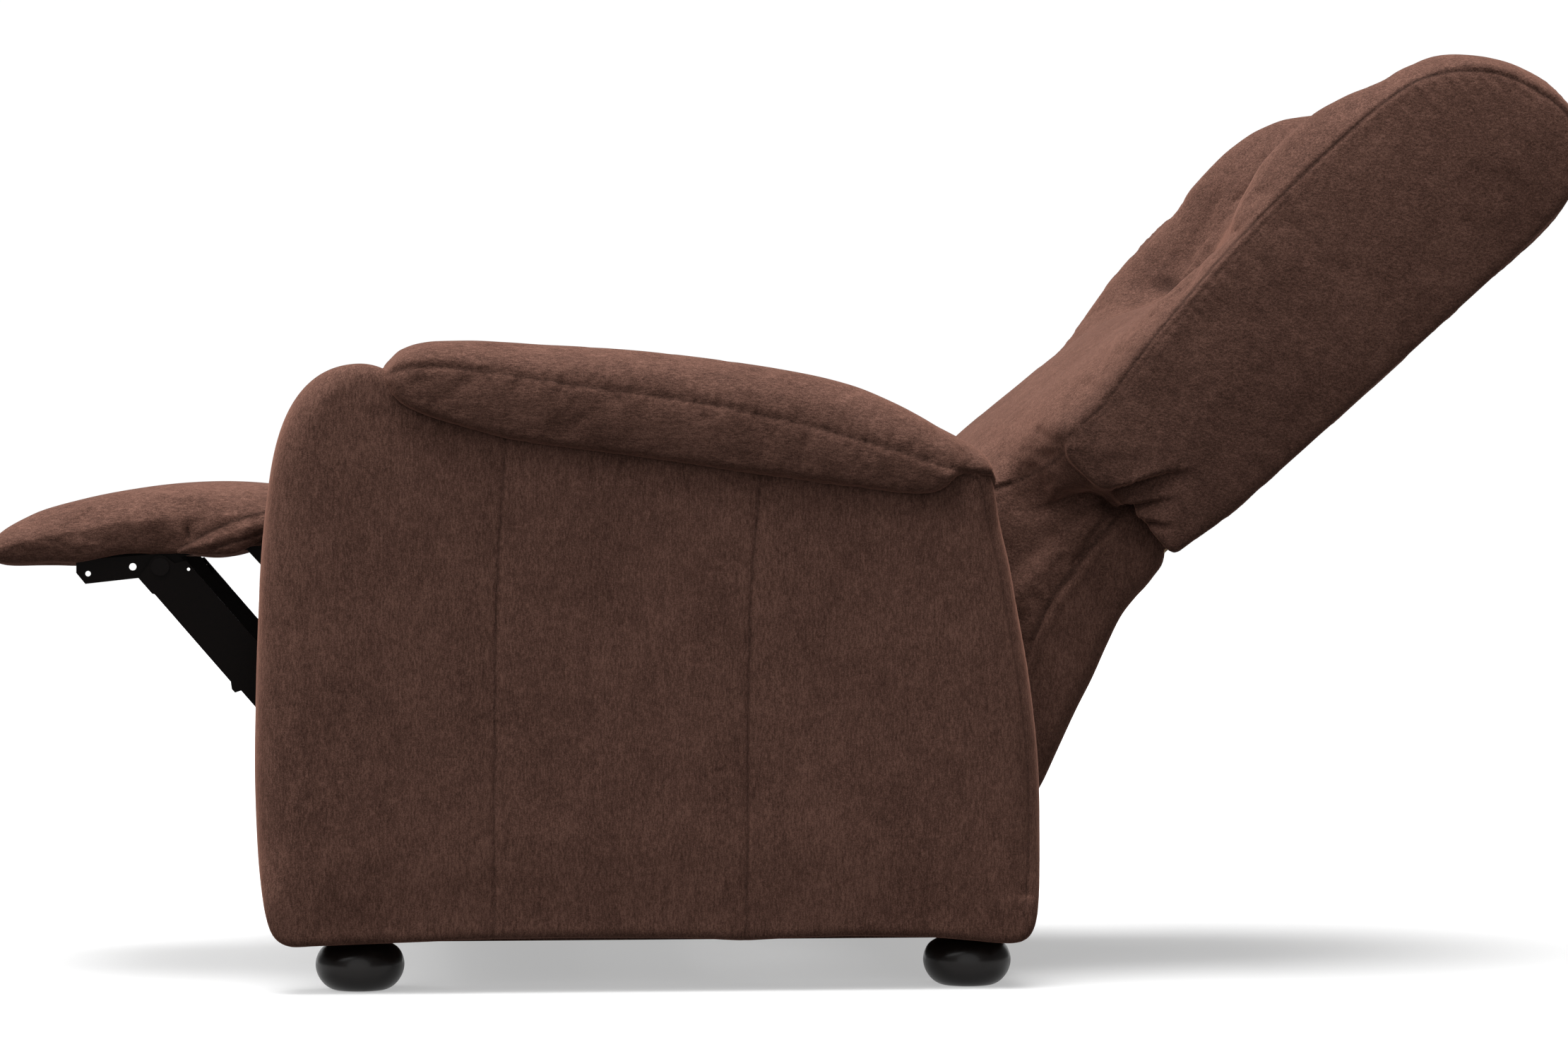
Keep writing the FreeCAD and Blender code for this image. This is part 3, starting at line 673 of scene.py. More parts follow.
# ------------------------------------------------------------------ back: u runs up the back from its hinge, v towards the sitter
HINGE = (.150, .345)
CU, SU = math.cos(math.radians(42)), math.sin(math.radians(42))


def back_to_world(p):
    return np.stack([p[:, 0], HINGE[0] + p[:, 1] * CU - p[:, 2] * SU, HINGE[1] + p[:, 1] * SU + p[:, 2] * CU], 1)


def world_to_back(p):
    y, z = p[:, 1] - HINGE[0], p[:, 2] - HINGE[1]
    return np.stack([p[:, 0], y * CU + z * SU, -y * SU + z * CU], 1)


V_CENTRE = [(-.10, .060), (0, .088), (.06, .098), (.12, .1045), (.183, .1085), (.239, .1065), (.275, .1046), (.303, .1035), (.34, .1010), (.371, .0968), (.39, .0920), (.41, .0840), (.43, .0740), (.46, .0620), (.495, .0530), (.513, .0500), (.531, .0530),
            (.556, .0630), (.607, .0760), (.647, .0810), (.685, .0830), (.724, .0830), (.767, .0790), (.79, .0720), (.813, .0520), (.83, .030)]
V_WING_L = [(.20, .056), (.225, .064), (.26, .0765), (.30, .0900), (.34, .0985), (.37, .0995), (.39, .0985), (.41, .0960), (.43, .0940), (.4465, .0930), (.470, .0937), (.4804, .0948), (.4935, .0980), (.5116, .1085), (.5375, .1182),
            (.5765, .1292), (.6065, .1310), (.6378, .1300), (.6697, .1230), (.7113, .1090), (.7411, .1005), (.7684, .0901), (.7909, .0748), (.8157, .050), (.83, .030)]
V_WING_R = [(.20, .056), (.225, .064), (.26, .0740), (.30, .0835), (.337, .0910), (.379, .0990), (.424, .1050), (.460, .1105), (.499, .1160), (.5396, .1195), (.5997, .1280), (.640, .1302), (.6622, .1285), (.6768, .1264), (.6980, .1210),
            (.7149, .1142), (.7314, .1034), (.7451, .0932), (.7684, .0780), (.7909, .0748), (.8157, .050), (.83, .030)]
V_SEAM = [(.200, .040), (.2168, .0475), (.2220, .0570), (.2293, .0586), (.2393, .0592), (.2624, .0597), (.2783, .0607), (.2962, .0635), (.324, .0690), (.360, .0762), (.418, .0838), (.4586, .0888), (.5162, .0937), (.5757, .0966), (.6336, .0976), (.690, .0962), (.7184, .0925), (.7462, .0836),
          (.7795, .0610), (.8051, .0296), (.8163, .0021)]
V_LOW_SEAM = [(-.09, .030), (-.04, .054), (0, .066), (.06, .0750), (.12, .0725), (.1468, .0655), (.1649, .0580), (.1830, .0525), (.2038, .0495), (.2248, .0490), (.25, .0460), (.30, .044)]
WING_LOOP = smooth_loop([
    (.2180, .0012), (.2148, .0150), (.2142, .0280), (.2145, .0390), (.2180, .0505), (.2225, .0565), (.2293, .0586), (.2393, .0592), (.2624, .0597), (.2783, .0607), (.2962, .0635), (.324, .0690), (.342, .0727), (.360, .0762), (.39, .0802), (.418, .0838), (.4586, .0888), (.5162, .0937),
    (.545, .0954), (.5757, .0966), (.605, .0973), (.6336, .0976), (.665, .0973), (.690, .0962), (.7184, .0925), (.7340, .0888), (.7462, .0836), (.7640, .0735), (.7795, .0610), (.7935, .0465), (.8051, .0296), (.8115, .0155), (.8163, .0021),
    (.8215, -.0160), (.8235, -.0330), (.8210, -.0520), (.8120, -.0700), (.7970, -.0850), (.7770, -.0960), (.752, -.1020), (.70, -.1055), (.60, -.1060), (.50, -.1060), (.40, -.1055), (.30, -.1045), (.27, -.1035), (.25, -.1020), (.2380, -.1008), (.2305, -.0992), (.2260, -.0905),
    (.2240, -.0729), (.2228, -.0450), (.2252, -.0300), (.2235, -.0120)], rounds=1)
CREASE = [(.2215, -.0045), (.2279, -.0092), (.2394, -.0137), (.2562, -.0211), (.2742, -.0294), (.2928, -.0413), (.3104, -.0543)]
FOLD2 = [(.2235, -.0265), (.2308, -.0315), (.2428, -.0395), (.2585, -.0498), (.2755, -.0585)]
FOLD3 = [(.2220, -.0430), (.2304, -.0520), (.2391, -.0637), (.2572, -.0818)]
WING_FOOT = [(-.13, .2330), (-.0970, .2315), (-.0729, .2240), (-.0450, .2228), (-.0300, .2252), (-.0120, .2235), (.0012, .2180), (.0150, .2148), (.0280, .2142), (.0390, .2145), (.0505, .2180), (.0565, .2225), (.15, .2260)]
PUCKER = (.2230, -.0180)
TUCK_LINE = [(.2290, -.0365), (.2149, -.0382), (.1938, -.0402), (.1636, -.0437), (.1436, -.0487), (.1175, -.0525), (.0726, -.0700)]
FOLD_LOW = [(.2215, -.0270), (.1893, -.0335), (.1774, -.0388), (.1560, -.0440)]
CREST, EDGE = .250, .3025


def side_of(P, Q, pts):
    """Signed distance to an open line, positive on its left (towards +v for a line that runs up), with the place along it."""
    best = np.full(np.broadcast(P, Q).shape, 1e9)
    sgn, arc, s = np.ones(best.shape), np.zeros(best.shape), 0.0
    for a, b in zip(pts[:-1], pts[1:]):
        d, t = seg_dist(P, Q, a, b)
        cr = (b[0] - a[0]) * (Q - a[1]) - (b[1] - a[1]) * (P - a[0])
        L = math.hypot(b[0] - a[0], b[1] - a[1])
        m = d < best
        best, sgn, arc = np.where(m, d, best), np.where(m, np.sign(cr), sgn), np.where(m, s + t * L, arc)
        s += L
    return best * sgn, arc / s


def back_front(x, u):
    """Front cover above the wings' lower edge: cushions in the middle, wings at the sides (stuffed by hand, so not quite alike)."""
    ax = np.abs(x)
    vs, vc = curve(V_SEAM, u), curve(V_CENTRE, u)
    vw = np.where(x >= 0, curve(V_WING_L, u), curve(V_WING_R, u))
    head = smoothstep(.37, .47, u)
    s = smoothstep(0, 1, np.clip((ax - .085 - .085 * head) / (CREST - .087 - .090 * head), 0, 1))
    t = np.clip((ax - CREST) / (EDGE - CREST), 0, 1)
    inner = vc - .004 * (ax / .10) ** 2 * (1 - s) * (1 - head) + (vw - vc) * s
    flat = smoothstep(.26, .40, u)
    outer = vs + (vw - vs) * (np.clip(1 - t ** 2, 0, 1) ** .68 * (1 - flat) + (1 - t ** 1.6) * flat)
    return np.where(ax < CREST, inner, outer), vs + 0 * x


def build_back(h, inset=0.0):
    xs, us, vs_ = axis_points(-.330, .330, h), axis_points(-.102, .862, h), axis_points(-.130, .146, h)
    U, V = np.meshgrid(us, vs_, indexing="ij")
    d2 = loop_sdf(U, V, WING_LOOP)
    X = np.abs(xs)[:, None, None]
    ax1 = np.abs(xs)
    F, vs = back_front(xs[:, None], us[None, :])
    vs = vs[0]
    # from the block between the arms the front cover flares out to the wings and rolls over to its seam
    lo_seam, cen = curve(V_LOW_SEAM, us), curve(V_CENTRE, us)
    m = smoothstep(.205, .228, us)
    both = lo_seam * (1 - m) + vs * m
    wide = .2365 + (EDGE - .2365) * smoothstep(.166, .239, us)
    tF = np.clip((ax1[:, None] - .140) / (wide[None] - .140), 0, 1)
    FB = both[None] + (cen[None] - .004 * (np.minimum(ax1, .14)[:, None] / .10) ** 2 - both[None]) * np.clip(1 - tF ** 2, 0, 1) ** .54
    F = FB + (F - FB) * smoothstep(.29, .45, us)[None]
    off_front = (F - vs[None])[:, :, None]
    t_edge = np.clip((ax1 - CREST) / (EDGE - CREST), 0, 1)
    r_edge = (np.clip(1 - t_edge ** 2, 0, 1) ** .6)[:, None, None]
    off_top = .0185 * r_edge
    off_rear = (.0055 * np.clip(1 - np.clip((ax1 - .270) / (EDGE - .270), 0, 1) ** 2, 0, 1) ** .5 + .0020 * (1 - (ax1 / .31) ** 2))[:, None, None]
    w_top = smoothstep(.735, .800, U)[None]
    off = off_front * (1 - w_top) + off_top * w_top
    dF, dR, dB = vs[:, None] - V, V + .104, U - .2200
    far_front = .06 * smoothstep(.0, -.10, V) + .09 * smoothstep(-.03, .03, V)
    w_rear = smoothstep(.03, -.03, dR - np.where(U > .77, far_front, dF))[None]
    off = off * (1 - w_rear) + off_rear * w_rear * smoothstep(.24, .32, U)[None]
    w_bot = smoothstep(.018, -.010, dB - np.minimum(dF, dR))[None]
    off = off * (1 - w_bot) - w_bot * .55 * np.clip(.2985 - X, 0, .055) * smoothstep(.045, .015, V)[None]
    side = np.where(d2 > 0, .3000, .3000 + .0095 * (1 - np.exp(np.minimum(d2, 0) / .045)))
    # short pulls along the front seam
    near = np.exp(-((d2 + .012) / .016) ** 2) * smoothstep(.0, .03, V + .02)
    side = side - .0006 * near * np.sin(U / .0135 * 2 * math.pi + 2.6 * np.sin(U * 31)) * (.5 + .5 * np.sin(U * 17 + .6))
    long_fold = np.sin((U * .6 - V * .8) * 62 + 1.8 * np.sin(U * 21)) * np.exp(-((U - .40) / .12) ** 2) * np.exp(-((d2 + .02) / .03) ** 2)
    side = side - .0013 * long_fold
    # the panel is gathered into its tucked lower corner: each fold overlaps the next
    for line, depth, reach in ((CREASE, .0170, .024), (FOLD2, .0110, .012), (FOLD3, .0095, .011)):
        e, a = side_of(U, V, line)
        fade = smoothstep(1.0, .25, a)
        side = side - depth * fade * np.where(e < 0, np.exp(e / reach), np.exp(-(e / .0022) ** 2) * 0) + .18 * depth * fade * np.where(e > 0, np.exp(-e / .007), 0)
    pr = np.hypot((U - PUCKER[0]) * 1.0, (V - PUCKER[1]) * .62)
    side = side - .0240 * np.exp(-(pr / .0066) ** 2)
    body = smax(d2[None] - off, X - side[None], .0045 + .0030 * w_bot + .0040 * w_rear)
    sewn = smoothstep(.222, .240, U) * smoothstep(-.085, -.055, V)
    groove = sewn * (.0022 * np.exp(-(d2 / .0019) ** 2) + .0012 * np.exp(-((d2 + .0068) / .0020) ** 2) * smoothstep(.20, .26, U) * smoothstep(.60, .50, U) * (V > 0))
    body = body + groove[None] * smoothstep(.284, .297, X)
    # the wing is drawn in where it starts beside the cushion
    body = body + (smoothstep(.02, .05, V) * .0060 * np.exp(-((U - .487) / .0150) ** 2))[None] * np.exp(-((X - .197) / .014) ** 2)
    # lower block between the arms
    arcd = np.where(U < .02, np.hypot(np.minimum(U, 0), V) - .0875, -1.0)
    rear = -.057 - .0405 * smoothstep(.020, .050, U)
    low = np.maximum(V[None] - FB[:, :, None], np.maximum(rear - V, arcd)[None])
    lside = .2330 + .0035 * (1 - np.exp(-(lo_seam[:, None] - V).clip(0) / .03)) + .0105 * smoothstep(.026, .036, np.hypot(U, V)) * smoothstep(-.006, -.030, V)
    pu, pv = U - PUCKER[0], V - PUCKER[1]
    for ang, depth, length in ((-148, .0014, .12), (-166, .0012, .10), (172, .0010, .08)):
        a = math.radians(ang)
        al = pu * math.cos(a) + pv * math.sin(a)
        pe = -pu * math.sin(a) + pv * math.cos(a)
        lside = lside - depth * np.exp(-(pe / (.004 + .06 * np.clip(al, 0, 1))) ** 2) * smoothstep(.0, .012, al) * smoothstep(length, length * .3, al)
    fl, _ = line_dist(U, V, resample(FOLD_LOW, .006))
    lside = lside - .0032 * np.exp(-(fl / .0030) ** 2) + .0012 * np.exp(-((fl - .006) / .004) ** 2)
    low = smax(low, X - lside[None], .008)
    ls = np.abs(V - lo_seam[:, None])
    low = low + (.0030 * np.exp(-(ls / .0028) ** 2))[None] * smoothstep(.215, .228, X)
    low = np.maximum(low, U[None] - .30)
    # the wing's foot slopes in to the block at the front and is tucked in sharply behind
    foot = curve(WING_FOOT, V)
    lean = smoothstep(-.002, .026, V)
    wf = smoothstep(foot - .003 - .050 * lean, foot + .003 + .017 * lean, U)
    fs = lside + (side - lside) * wf
    flare = smax(V[None] - FB[:, :, None], X - fs[None], .006)
    flare = np.maximum(flare, np.maximum(np.maximum(.165 - U, U - .30), -.030 - V)[None])
    phi = smin(smin(body, low, .006), flare, .004)
    phi = np.where((U < .38)[None] & (V > .03)[None], smax(phi, V[None] - F[:, :, None] - .0008, .003), phi) + inset
    return skin_of(phi, (xs, us, vs_), h)


def back_attrs(p):
    ax, u, v = np.abs(p[:, 0]), p[:, 1], p[:, 2]
    d2 = loop_sdf(u, v, WING_LOOP[::2])
    s = np.where((ax > .288) & (u > .235) & (v > -.06), np.exp(-(d2 / .0015) ** 2), 0)
    s = np.maximum(s, np.where((ax > .292) & (u > .24) & (u < .56) & (v > 0), .55 * np.exp(-((d2 + .0068) / .0018) ** 2), 0))
    ls = np.abs(v - curve(V_LOW_SEAM, u))
    s = np.maximum(s, np.where((u < .226) & (ax > .222) & (ax < .305), .8 * np.exp(-(ls / .0022) ** 2), 0))
    # painted shade in the dimple where the wing is drawn in beside the cushion
    s = np.maximum(s, np.where(v > .04, .75 * np.exp(-((ax - .197) / .012) ** 2) * np.exp(-((u - .487) / .012) ** 2), 0))
    # the folded lower edge of the wings lies in its own shade
    s = np.maximum(s, np.where((ax > .25) & (u < .235) & (v > -.098), .85 * smoothstep(-.0045, .0005, d2) * smoothstep(.002, -.014, v), 0))
    # painted shade along the fold of the wings' lower edge at their front corner
    s = np.maximum(s, np.where((ax > .235) & (u < .235) & (v > -.014) & (v < .054), .62 * np.exp(-((d2 + .0005) / .0021) ** 2), 0))
    # painted shade in the creases of the folds gathered into the tucked corner
    for line in (CREASE, FOLD2, FOLD3):
        e, a = side_of(u, v, line)
        s = np.maximum(s, np.where((ax > .27) & (u > .218), .75 * np.exp(-((e + .0015) / .0026) ** 2) * smoothstep(.95, .35, a), 0))
    # painted shade in the pucker at the wings' tucked corner
    r = np.hypot(u - PUCKER[0], (v - PUCKER[1]) * .7)
    s = np.maximum(s, .85 * np.exp(-(r / .0075) ** 2) * (ax > .20))
    # shade in the hollow below the wing and along the edge of the skirt tucked over the block
    r = np.hypot(u - .2200, (v + .0240) * .75)
    s = np.maximum(s, .9 * np.exp(-(r / .0095) ** 4) * ((ax > .20) & (ax < .285)))
    e, a = line_dist(u, v, resample(TUCK_LINE, .006))
    s = np.maximum(s, np.where((ax > .22) & (ax < .262) & (u < .235), .75 * np.exp(-(e / .0034) ** 2), 0))
    # painted shade in the low fold on the side of the block
    e, a = line_dist(u, v, resample(FOLD_LOW, .006))
    s = np.maximum(s, np.where((ax > .22) & (ax < .262) & (u < .222), .6 * np.exp(-(e / .0028) ** 2), 0))
    # painted shade: the outer sides of the back darker towards the bottom
    return {"seam": np.maximum(s, .32 * smoothstep(.66, .30, u) * smoothstep(.270, .292, ax))}


H_BACK = .0027
bp, bq = build_back(H_BACK)
bp = as_cloth(build_back, .0095, bp, back_attrs, cap=.0036, balloon=.15, calm=lambda q: .35 + .65 * smoothstep(.290, .265, np.abs(q[:, 0])))
dress(mesh_object("back_cover", back_to_world(bp), bq, back_attrs(bp)), M_BACK, "back", "lumbar_cushion", "head_cushion", "back_wing_left", "back_wing_right", "outer_back_panel", fill=0.85)

# ------------------------------------------------------------------ leg rest: crescent pad with a rolled flap under its rear end
LEG_LOOP = smooth_loop([
    (-.7930, .4250), (-.7865, .4380), (-.7780, .4480), (-.7580, .4615), (-.7370, .4720), (-.6950, .4835), (-.6530, .4915), (-.6110, .4970), (-.5690, .4992), (-.5270, .4980), (-.4960, .4937), (-.4840, .4860),
    (-.4815, .4700), (-.4820, .4500), (-.4860, .4400), (-.4990, .4375), (-.5190, .4340), (-.5650, .4290), (-.6041, .4255), (-.6216, .4262), (-.6391, .4260), (-.6591, .4250), (-.6841, .4195), (-.7016, .4165), (-.7215, .4170), (-.7400, .4170), (-.7700, .4165), (-.7860, .4190)], rounds=1)
FLAP_LOOP = smooth_loop([
    (-.6050, .4265), (-.5914, .4362), (-.5814, .4422), (-.5664, .4505), (-.5464, .4592), (-.5313, .4638), (-.5175, .4670), (-.5000, .4690), (-.4850, .4650), (-.4805, .4540), (-.4850, .4480), (-.5050, .4450), (-.5175, .4414),
    (-.5263, .4364), (-.5351, .4305), (-.5489, .4258), (-.5614, .4243), (-.5769, .4250), (-.5900, .4255)], rounds=1)
FLAP_LINE = [(-.5680, .4318), (-.5614, .4339), (-.5489, .4377), (-.5363, .4414), (-.5263, .4445), (-.5175, .4477), (-.4900, .4560)]
LEG_DART = [(-.5934, .4535), (-.5924, .4485), (-.5916, .4440)]


def build_leg(h):
    xs, ys, zs = axis_points(-.264, .264, h), axis_points(-.806, -.468, h), axis_points(.400, .512, h)
    Y, Z = np.meshgrid(ys, zs, indexing="ij")
    X = np.abs(xs)[:, None, None]
    d2 = loop_sdf(Y, Z, LEG_LOOP)
    low = curve([(-.80, .4165), (-.737, .4165), (-.7016, .4165), (-.6591, .4250), (-.611, .4255), (-.519, .4340), (-.47, .4380)], Y)
    up = smoothstep(.006, .045, Z - low)
    side = .2395 + .0050 * smoothstep(.0, .03, -d2)
    dd, da = line_dist(Y, Z, resample(LEG_DART, .002))
    side = side - .0030 * np.exp(-(dd / .0018) ** 2) - .0016 * np.exp(-(dd / .010) ** 2)
    # shallow pulls that run back from the dart and from the tip of the flap
    side = side - .0013 * np.sin(Y * 70 + 30 * Z + 2 * np.sin(Y * 33)) * np.exp(-((Y + .56) / .05) ** 2) * np.exp(-((Z - .475) / .018) ** 2)
    k = .010 + .040 * up
    crown = .0065 * (X / .24) ** 2 * up[None] * smoothstep(-.80, -.70, Y)[None]
    pad = smax(d2[None] + crown, X - side[None], k[None])
    f2 = loop_sdf(Y, Z, FLAP_LOOP)
    fd, fa = line_dist(Y, Z, resample(FLAP_LINE, .004))
    fside = .2450 + .0050 * smoothstep(.0, .012, -f2) - .0030 * np.exp(-(fd / .0018) ** 2)
    flap = smax(f2[None] + 0 * X, X - fside[None], .0045)
    phi = np.minimum(pad, flap)
    axes = (xs, ys, zs)
    return skin_of(phi, axes, h)


def leg_attrs(p):
    ax, y, z = np.abs(p[:, 0]), p[:, 1], p[:, 2]
    dd, _ = line_dist(y, z, resample(LEG_DART, .002))
    s = np.where(ax > .225, .8 * np.exp(-(dd / .0018) ** 2), 0)
    # painted shade along the crease at the edge of the rolled flap
    f2 = loop_sdf(y, z, FLAP_LOOP)
    s = np.maximum(s, np.where((ax > .236) & (z > .429) & (y < -.49), .95 * np.exp(-((f2 - .0006) / .0017) ** 2), 0))
    fd, _ = line_dist(y, z, resample(FLAP_LINE, .004))
    return {"seam": np.maximum(s, np.where(ax > .236, .8 * np.exp(-(fd / .0017) ** 2), 0))}


H_LEG = .0024
lp, lq = build_leg(H_LEG)
lp = as_cloth(build_leg, .0065, lp, leg_attrs, cap=.0020, balloon=.10)
dress(mesh_object("leg_rest_cover", lp, lq, leg_attrs(lp)), M_LEG, "leg_rest", "leg_rest_pad", fill=0.85)

# ------------------------------------------------------------------ seat cushion: boxed, crowned, with a rolled front edge
SEAT_LOOP = smooth_loop([
    (-.450, .4035), (-.4575, .412), (-.4605, .428), (-.4615, .446), (-.4575, .468), (-.4460, .486), (-.4240, .4945), (-.380, .4955), (-.300, .4895), (-.200, .4785), (-.100, .4635), (.000, .4455), (.030, .4380), (.046, .4280),
    (.054, .4150), (.054, .4040), (.030, .4032), (-.10, .4032), (-.20, .4032), (-.30, .4032), (-.40, .4032)], rounds=1)
SEAT_BOX = [(-.4600, .440), (-.440, .4660), (-.400, .4700), (-.300, .4645), (-.200, .4535), (-.100, .4385), (.000, .4210), (.050, .4130)]


def build_seat(h, flap=True):
    xs, ys, zs = axis_points(-.268, .268, h), axis_points(-.480, .072, h), axis_points(.342 if flap else .390, .520, h)
    Y, Z = np.meshgrid(ys, zs, indexing="ij")
    X = np.abs(xs)[:, None, None]
    d2 = loop_sdf(Y, Z, SEAT_LOOP)
    bz = curve(SEAT_BOX, ys)[:, None]
    side = .2460 + .0045 * np.exp(-((Z - bz + .030) / .026) ** 2)
    up = smoothstep(.430, .470, Z + .10 * (Y + .45))
    k = .012 + .026 * up
    crown = .012 * (X / .246) ** 2 * smoothstep(.0, .02, Z - bz)[None] - .005 * (1 - (X / .246) ** 2) * np.exp(-((Y + .20) / .16) ** 2)[None] * smoothstep(.0, .02, Z - bz)[None]
    phi = smax(d2[None] + crown, X - side[None], k[None])
    edge = np.abs(Z - bz)
    box = np.where(Y < -.425, np.abs(Z - .4420), edge)
    near = np.maximum(smoothstep(.228, .240, X), smoothstep(-.440, -.452, Y)[None])
    phi = phi + near * (.0030 * np.exp(-(box / .0030) ** 2) + .0022 * np.exp(-(box / .011) ** 2))[None]
    # two lengthwise seams and a cross seam on the top panel
    top = smoothstep(.004, .020, Z - bz)[None]
    sx = np.abs(X - .168)
    phi = phi + top * (.0026 * np.exp(-(sx / .0030) ** 2) + .0022 * np.exp(-(sx / .013) ** 2)) * smoothstep(-.452, -.440, Y)[None]
    if flap:
        # the cover hangs down over the front rail
        val = smax(smax(-.4500 - Y, Y + .4395, .004), smax(.352 - Z, Z - .412, .004), .005)
        phi = smin(phi, smax(val[None] + 0 * X, X - .2240, .008), .006)
    return skin_of(phi, (xs, ys, zs), h)


def seat_attrs(p):
    ax, y, z = np.abs(p[:, 0]), p[:, 1], p[:, 2]
    bz = curve(SEAT_BOX, y)
    box = np.where(y < -.425, np.abs(z - .4420), np.abs(z - bz))
    s = np.where((ax > .232) | (y < -.445), .9 * np.exp(-(box / .0026) ** 2), 0)
    return {"seam": np.maximum(s, np.where(z > bz + .012, .8 * np.exp(-((ax - .168) / .0026) ** 2), 0))}


H_SEAT = .0032
sp, sq = build_seat(H_SEAT)
sp = as_cloth(lambda h: build_seat(h, False), .0090, sp, seat_attrs, cap=.0060, calm=lambda q: smoothstep(.398, .410, q[:, 2]))
dress(mesh_object("seat_cover", sp, sq, seat_attrs(sp)), M_SEAT, "base", "seat_cushion", fill=0.75)

# ------------------------------------------------------------------ rear skirt: one sheet round the back of the base, tucked under the back
def uv_point(u, v):
    return (HINGE[0] + u * CU - v * SU, HINGE[1] + u * SU + v * CU)


SKIRT_REAR = [(.2455, .066), (.2450, .130), (.2530, .171), (.2680, .2025), (.2815, .2325), (.2985, .2695), (.3145, .3010), (.3295, .3340), (.3450, .3640), uv_point(.1811, -.1126), uv_point(.1958, -.1116), uv_point(.2093, -.1092), uv_point(.2225, -.1062), uv_point(.2290, -.1022), uv_point(.2335, -.0985), uv_point(.2400, -.0955)]
SKIRT_FRONT = [(.2200, .066), (.2215, .130), (.2260, .230), (.2360, .290), uv_point(.0726, -.071), uv_point(.1175, -.0540), uv_point(.1436, -.0505), uv_point(.1636, -.0455), uv_point(.1938, -.0420), uv_point(.2149, -.0400), uv_point(.2310, -.0383), uv_point(.2380, -.0376)]


def along(pts, n):
    p = np.array(pts, float)
    s = np.concatenate([[0], np.cumsum(np.linalg.norm(np.diff(p, axis=0), axis=1))])
    t = np.linspace(0, s[-1], n)
    q = np.stack([curve(list(zip(s, p[:, k])), t) for k in (0, 1)], 1)
    return q


